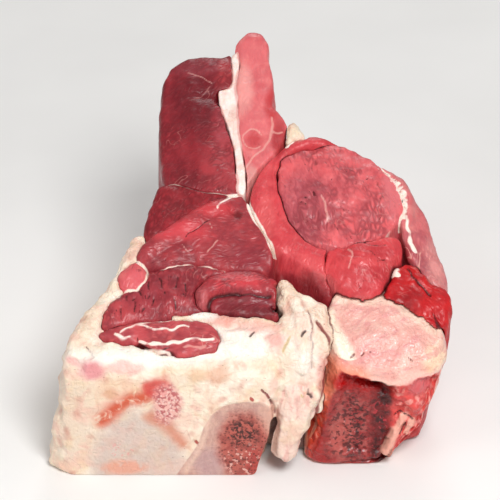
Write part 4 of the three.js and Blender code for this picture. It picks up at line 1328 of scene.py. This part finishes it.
fat_marks = {
    "nick in the fat": Mark(ABOVE, [(-0.4, 11), (0.5, 12), (1.6, 12.6)], 0.36, 0.8, "nick"),
    "yellow thread in the fat": Mark(ABOVE, [(14.7, 9.7), (13.2, 7.4), (12.1, 4.8)], 0.5, 0.5, "yellow"),
    "crack on the left": Mark(ABOVE, [(-59, 7.7), (-58, 5.6), (-56.6, 3.8)], 0.5, 1.0, "dark"),
    "crack in the rim": Mark(ABOVE, [(-51.2, 5.2), (-50.8, 4.8)], 0.4, 0.6, "dark"),
    "cleft beside the shaft": Mark(FRONT, [(7.5, 33), (8.8, 30), (9.5, 27)], 0.9, 1.8, "dark"),
    "back fold": Mark(ABOVE, [(-8, 15), (2, 14.5), (10, 17)], 1.2, 0.9),
    "front fold": Mark(ABOVE, [(-12, 6), (-3, 4.5), (6, 5.5), (13, 3)], 1.4, 0.9),
}


def sawn_flat(points, normals):
    """Less relief where the saw has cut."""
    flat = in_span(points - PLAN_ORIGIN, SAWN_LOW, SAWN_HIGH, SAWN_FADE)
    return 1 - (1 - SAWN_CALM) * flat


bone_and_fat = make_piece("bone_and_fat", bone_fat, [(1.1, 10), FAT_FOLDS, (0.25, 1.7)], run=NO_GRAIN,
                          marks={**stain_and_shade_marks, **ligament_marks, **fat_marks}, calm=sawn_flat)


def distance_to(nodes, points):
    """Distance in mm from each point to the nearest face of these solids."""
    tree, _ = solids_tree(nodes)
    return np.array([tree.find_nearest(point)[3] for point in points])


bone_points = points_of(bone_and_fat.data)
carry(bone_and_fat.data, "front_mm", bone_points[:, 1] - PLAN_ORIGIN[1])
carry(bone_and_fat.data, "shaft_mm", distance_to(["shaft_bone"], bone_points))
carry(bone_and_fat.data, "sinew_mm", distance_to(["tendon_end"], bone_points))

# %% [markdown]
# Cartilage is dense collagen: smooth, slightly see-through and glassy when wet. On the knuckle it is
# pinkish with curved rose streaks and a cream edge. The streaks are a noise drawn out along a turned
# direction and bent by a broader noise.

# %% Cartilage cap
WET_CARTILAGE = {"IOR": 1.42, "Coat Weight": 0.3, "Coat Roughness": 0.2, "Subsurface Weight": 0.15,
                 "Subsurface Radius": (1.0, 0.5, 0.4), "Subsurface Scale": 1.5 * MM}
CAP_RELIEF_MM = 0.2
CAP_ROUGHNESS = 0.36
cap = blank("pink_cartilage_on_marrow")
cap_where = place(cap)
cap_curved = wavering(cap, place(cap, (2.6, 1, 1), (0, 0, 0.5)), 9.0, 3.0)
CAP_EDGE = Tint((69, 6, 46), (6, 8, 8), 0.85, "#f9dfc4")
CAP_TAN = Tint((66, 1, 43), (4.5, 4, 2.4), 0.7, "#dfa37c")
CAP_ROSE = Tint((45, 8, 50), (10, 6, 8), 0.35, "#e9a9a6")
cap_colour = paint(cap, "#ecb8ae", [
    (patches(cap, 9, 0.46, 0.66, cap_where, warp=0.9), 0.7, "#f3cfc2"),
    *tints(cap, (CAP_EDGE, CAP_ROSE)),
    (patches(cap, 3.4, 0.5, 0.64, cap_curved, warp=0.6), 0.6, "#e2a1a0"),
    (patches(cap, 2.2, 0.56, 0.68, cap_where, warp=1.0), 0.35, "#cf8e8b"),
    (carried(cap, "cream", 0.5, 1.5), 0.9, "#fff4e2"),
    (carried(cap, "rim_mm", 1.0, 3.5), 0.6, "#fbe5d2"),
    *tints(cap, (CAP_TAN,)),
    ((carried(cap, "below_lip_mm", 0.4, 5.0), carried(cap, "across_mm", 38.0, 47.0)), 0.85, "#f0a084"),
    ((carried(cap, "below_lip_mm", 0.2, 2.6), carried(cap, "across_mm", 47.0, 40.0)), 0.7, "#f9d3c6"),
    (patches(cap, 1.2, 0.7, 0.76, cap_where), 0.5, "#a3544a"),
    # painted shade: dark red in the seams and along the dark marks
    (carried(cap, "crease", 0.2, 1.0), 0.8, "#7c1d1c"),
])
print("cap painted")

# %% [markdown]
# Below the cap's lip the sawn front is open. From left to right it has an orange edge, a grey-mauve
# sponge, a dark vein and wet flesh with pale flaps. A hollow under the lip is red at its left end, dark
# red further in, partly the marrow's own red and partly painted shade, and painted almost black as shade
# in its depth. Cap and marrow are one skin, so they are one material, and how far below the lip a place
# lies decides which of the two shows.

# %% Open marrow
UPPER_LEFT = ((26.5, 2, 38), (8, 12, 9.5))
BLOOD_UNDER_LIP = ((36, 5, 37.8), (5, 16, 4.4))
# the hollow under the lip: dark red, partly the marrow's own and partly painted shade, then almost black as
# painted shade
HOLLOW_RED_AND_SHADE = ((41, 5, 38), (11.5, 16, 5))
HOLLOW_DEEPEST_SHADE = ((47, 5, 38.2), (5, 16, 3.0))
SPONGE_FACE = ((36.5, 2, 16), (9, 12, 19))
SPONGE_LOW = ((33, 2, 13), (5, 12, 9))
SPONGE_COLUMN = ((38.5, 2, 20), (4.4, 12, 17))
VEIN = ((48, 2, 18), (4, 12, 21))
FLESH_ROSE = ((62, 3, 37), (4.8, 9, 4.4))
FLESH_EDGE = ((69.5, 5, 25), (2.6, 12, 15))
FOOT_RED = ((27, 2, 3), (8, 12, 4.5))
sponge_face = spot(cap, *SPONGE_FACE, soft=0.35, waver_mm=3.0)
sponge_column = spot(cap, *SPONGE_COLUMN, waver_mm=3.0)
flesh = carried(cap, "across_mm", 53.0, 50.0)
left_strip = carried(cap, "from_left_mm", 4.2, 6.0)
marrow = paint(cap, "#b43a38", [
    (patches(cap, 5, 0.5, 0.62, cap_where, warp=1.2), 0.5, "#8a1c22"),
    (left_strip, 0.9, "#dc5f47"),
    ((left_strip, patches(cap, 2.4, 0.5, 0.62, cap_where, warp=0.6)), 0.7, "#a32522"),
    ((left_strip, patches(cap, 1.8, 0.6, 0.68, cap_where)), 0.7, "#f2a796"),
    ((left_strip, spot(cap, *UPPER_LEFT)), 0.92, "#f3a486"),
    (spot(cap, *FOOT_RED), 0.6, "#b82c2a"),
    (sponge_face, 0.9, "#a43f40"),
    ((sponge_face, patches(cap, 4, 0.46, 0.6, cap_where)), 0.7, "#bb6e68"),
    ((sponge_face, spot(cap, *SPONGE_LOW)), 0.75, "#cb726a"),
    ((sponge_face, patches(cap, 1.8, 0.54, 0.66, cap_where)), 0.35, "#c98a82"),
    ((sponge_face, patches(cap, 1.5, 0.5, 0.6, place(cap, (1, 1, 0.6))), sponge_column), 0.85, "#33080b"),
    ((sponge_face, patches(cap, 1.7, 0.53, 0.61, place(cap, turn=(0.7, 0, 0)))), 0.75, "#561317"),
    (flesh, 0.9, "#e4645f"),
    ((flesh, patches(cap, 4, 0.48, 0.64, cap_where, warp=0.8)), 0.6, "#c5474a"),
    ((flesh, patches(cap, 3.4, 0.5, 0.64, place(cap, turn=(0, 0.6, 0)))), 0.8, "#f3aca3"),
    (spot(cap, *VEIN, soft=0.35, waver_mm=3.0), 0.92, "#7a0d15"),
    ((spot(cap, *VEIN), patches(cap, 2.8, 0.46, 0.58, cap_where)), 0.8, "#3c0408"),
    ((spot(cap, *VEIN), patches(cap, 1.8, 0.6, 0.68, cap_where, warp=0.6)), 0.7, "#cf5058"),
    ((spot(cap, *FLESH_ROSE), flesh), 0.75, "#d97a7e"),
    (spot(cap, *FLESH_EDGE), 0.7, "#f0cfc4"),
    (spot(cap, *BLOOD_UNDER_LIP), 0.9, "#d42429"),
    (spot(cap, *HOLLOW_RED_AND_SHADE), 0.95, "#b80506"),
    (spot(cap, *HOLLOW_DEEPEST_SHADE), 0.94, "#280102"),
    (carried(cap, "flap", 0.5, 1.2), 0.9, "#f4bfae"),
    # painted shade: near black in the seams and along the dark marks
    (carried(cap, "crease", 0.3, 1.0), 0.85, "#5c0c10"),
])
open_colour = paint(cap, cap_colour, [(carried(cap, "below_lip_mm", -0.8, 0.4), 1.0, marrow)])
cap_relief = patches(cap, 1.4, 0.35, 0.68, cap_where, detail=2.0)
finish(cap, open_colour, cap_relief, CAP_RELIEF_MM, CAP_ROUGHNESS, WET_CARTILAGE, WET_MEAT)
print("open marrow painted")

# %% [markdown]
# The mesh follows the same plan. First come the knuckle's own marks: pale flaps that stand proud of the
# flesh with shadows beside them, the cream edge on the left and a few nicks in the cap.

# %% Knuckle
knuckle_marks = {
    "long flap": Mark(FRONT, [(56.5, 22), (53, 14), (50, 6.3)], 1.7, -1.3, "flap"),
    "short flap": Mark(FRONT, [(59.3, 20.3), (58.4, 17.4), (57.3, 14.4)], 1.3, -1.0, "flap"),
    "shadow between the flaps": Mark(FRONT, [(56.8, 19), (55.6, 16), (54.8, 14.2)], 0.45, 0.8, "dark"),
    "shadow over the flaps": Mark(FRONT, [(52.6, 22), (55.8, 24), (59.6, 20.6)], 0.5, 0.8, "dark"),
    "cream edge": Mark(ABOVE, [(27.5, 22), (29.4, 16.5), (32, 11.4), (36.5, 2.6)], 3.0, -0.7, "cream"),
    "first nick": Mark(FRONT, [(36.6, 47.4), (37.6, 48.2)], 0.6, 0.4, "dark"),
    "second nick": Mark(FRONT, [(40.4, 48.4), (41.2, 48.8)], 0.5, 0.3, "dark"),
    "third nick": Mark(FRONT, [(43.2, 48.9), (43.8, 49)], 0.4, 0.3, "dark"),
    "right nick": Mark(FRONT, [(57.4, 47.6), (58.4, 47)], 0.5, 0.4, "dark"),
}
knuckle = make_piece("knuckle_bone", cap, [(1.3, 12), (0.6, 5), (0.12, 1.8)], run=NO_GRAIN,
                     marks=knuckle_marks)

# %% [markdown]
# Then the open face is pressed into shape. The lip runs across the front, dips over the vein and is
# uneven. Under it a hollow is pressed in, the flesh on the right swells out in lumps, and the face is
# rough all over. The mesh also carries where the lip, the left edge and the cap's rim are, which the
# material needs to put its colours in the right places.

# %% Open face of the knuckle
LIP_PLACES = [(28, 45), (35, 42.5), (41, 42), (50, 38.5), (57, 40), (66, 41.5)]
LIP_WANDER = 1.6
LIP_WANDER_SIZE = 7
LIP_FRAY = 0.9
ROUGH_SIZE = 2.6
FACING = 0.35
FACING_MM = 14
LEFT_AT_BOARD = 17.0
LEFT_LEAN = 0.26
LIP_BAND = (-4.0, 0.0)
HOLLOW_LEFT = (31, 36)
HOLLOW_RIGHT = (48, 54)
HOLLOW_BELOW_LIP = 4
HOLLOW_HALF_HEIGHT = 3.2
HOLLOW_DEPTH = 5.5
ROUGH_DEPTH = 0.9
FLESH_FROM = (51, 56)
FLESH_SET_BACK = 1.4
FLESH_LUMP = 1.8
FLESH_LUMP_SIZE = 5.5
KNUCKLE_FOOT = (0, 3)
LEFT_WANDER = 1.2
ACROSS_WANDER = 1.5
EDGE_WANDER_SIZE = 4
RIM_WANDER = 2.0
RIM_WANDER_SIZE = 6.0
knuckle_points = points_of(knuckle.data)
plan = knuckle_points - PLAN_ORIGIN
lip = np.interp(plan[:, 0], *np.array(LIP_PLACES).T)
lip += LIP_WANDER * gradient_noise(knuckle_points / LIP_WANDER_SIZE, 5)
lip += LIP_FRAY * gradient_noise(knuckle_points / ROUGH_SIZE, 6)
facing = FACING_MM * (normals_of(knuckle.data)[:, 1] + FACING)
below_lip = np.maximum(plan[:, 2] - lip, facing)
left_edge = plan[:, 0] - (LEFT_AT_BOARD + LEFT_LEAN * plan[:, 2])
open_face = 1 - smoothstep(below_lip, *LIP_BAND)
across_hollow = smoothstep(plan[:, 0], *HOLLOW_LEFT) * (1 - smoothstep(plan[:, 0], *HOLLOW_RIGHT))
in_hollow = across_hollow * np.exp(-((below_lip + HOLLOW_BELOW_LIP) / HOLLOW_HALF_HEIGHT) ** 2)
in_flesh = smoothstep(plan[:, 0], *FLESH_FROM)
push = ROUGH_DEPTH * (0.5 - gradient_noise(knuckle_points / ROUGH_SIZE, 9)) + HOLLOW_DEPTH * in_hollow
push += in_flesh * (FLESH_SET_BACK - FLESH_LUMP * gradient_noise(knuckle_points / FLESH_LUMP_SIZE, 10))
knuckle_points[:, 1] += push * open_face * smoothstep(plan[:, 2], *KNUCKLE_FOOT)
knuckle_points[:, 1] = np.maximum(knuckle_points[:, 1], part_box("knuckle_bone")[0].y / MM)
set_points(knuckle.data, knuckle_points)
left_wander = LEFT_WANDER * gradient_noise(knuckle_points / EDGE_WANDER_SIZE, 13)
across_wander = ACROSS_WANDER * gradient_noise(knuckle_points / EDGE_WANDER_SIZE, 14)
rim = distance_to(["ligament", "trimming", "lobe_muscle"], knuckle_points)
carry(knuckle.data, "below_lip_mm", below_lip)
carry(knuckle.data, "from_left_mm", left_edge + left_wander)
carry(knuckle.data, "across_mm", plan[:, 0] + across_wander)
carry(knuckle.data, "rim_mm", rim + RIM_WANDER * gradient_noise(knuckle_points / RIM_WANDER_SIZE, 12))
print("open face pressed in by up to", round((push * open_face).max(), 1), "mm")

# %% [markdown]
# All pieces have their form now, so the seams can be measured on them: for every vertex the distance to
# each neighbour's skin. Divided by the reach of the pair's crease it tells how much painted shade the
# seam gets there, and less half the pair's white line it tells where membrane shows. The white lines
# swell and thin with a slow noise, and only pieces whose boxes touch are compared. Deep down the sides
# and the back the meat is cut smooth, so there the seams have no shade of their own: neither painted
# shade nor white membrane. Last, the mesh carries how deep each place lies between the folds of the fat,
# from the same noise that raised them, for the painted shade in its hollows.

# %% Measuring the seams
NEAR_MM = 3.0
WHITE_SWELL = 0.45
WHITE_SWELL_SIZE = 5
HOLLOW_FROM = 0.15
SHADE_DEPTH = (5.0, 10.0)
BEHIND_FRONT = (25.0, 35.0)
bpy.context.view_layer.update()
depsgraph = bpy.context.evaluated_depsgraph_get()
trees = {piece: BVHTree.FromObject(look, depsgraph) for piece, look in made.items()}
spans = {piece: (points_of(look.data).min(0) - NEAR_MM, points_of(look.data).max(0) + NEAR_MM)
         for piece, look in made.items()}


def skin_distance(points, other):
    """Distance in mm from each point to another piece, where it is within a few millimetres."""
    distance = np.full(len(points), NO_NEIGHBOUR)
    inside = np.all((points > spans[other][0]) & (points < spans[other][1]), axis=1)
    for i in np.flatnonzero(inside):
        away = trees[other].find_nearest(points[i] * MM, NEAR_MM * MM)[3]
        if away is not None:
            distance[i] = away / MM
    return distance


for piece, look in made.items():
    points = points_of(look.data)
    white, dark = own_lines[piece]
    swelling = 1 + WHITE_SWELL * gradient_noise(points / WHITE_SWELL_SIZE, 90)
    edge = np.full(len(points), NO_NEIGHBOUR)
    buried = smoothstep(sheet_height(points) - points[:, 2], *SHADE_DEPTH)
    buried *= smoothstep(points[:, 1] - PLAN_ORIGIN[1], *BEHIND_FRONT)
    for other in made:
        if other == piece:
            continue
        seam = seam_of(piece, other)
        distance = skin_distance(points, other)
        edge = np.minimum(edge, distance)
        dark = np.minimum(dark, distance / seam.crease)
        white = np.minimum(white, distance - seam.white * swelling)
    carry(look.data, "edge_mm", edge)
    carry(look.data, "crease", dark + NO_NEIGHBOUR * buried)
    carry(look.data, "white_mm", white + NO_NEIGHBOUR * buried)
    folds = swell(piece, points, 1, *FAT_FOLDS)
    carry(look.data, "hollow", np.clip(-folds - HOLLOW_FROM, 0, 1))
print("seams measured on", len(made), "pieces")

# %% [markdown]
# The floor is a matt pale sheet. It gets a faint cloudiness so that it doesn't read as a blank.

# %% Floor
PAPER_RELIEF_MM = 0.05
PAPER_ROUGHNESS = 0.75
sheet_material = blank("pale_paper_floor")
cloud = patches(sheet_material, 120, 0.3, 0.7, place(sheet_material))
pale = paint(sheet_material, "#efeeec", [(cloud, 1.0, "#f5f4f2")])
finish(sheet_material, pale, cloud, PAPER_RELIEF_MM, PAPER_ROUGHNESS, {})
floor_mesh.materials.append(sheet_material)
print("materials:", len(bpy.data.materials))
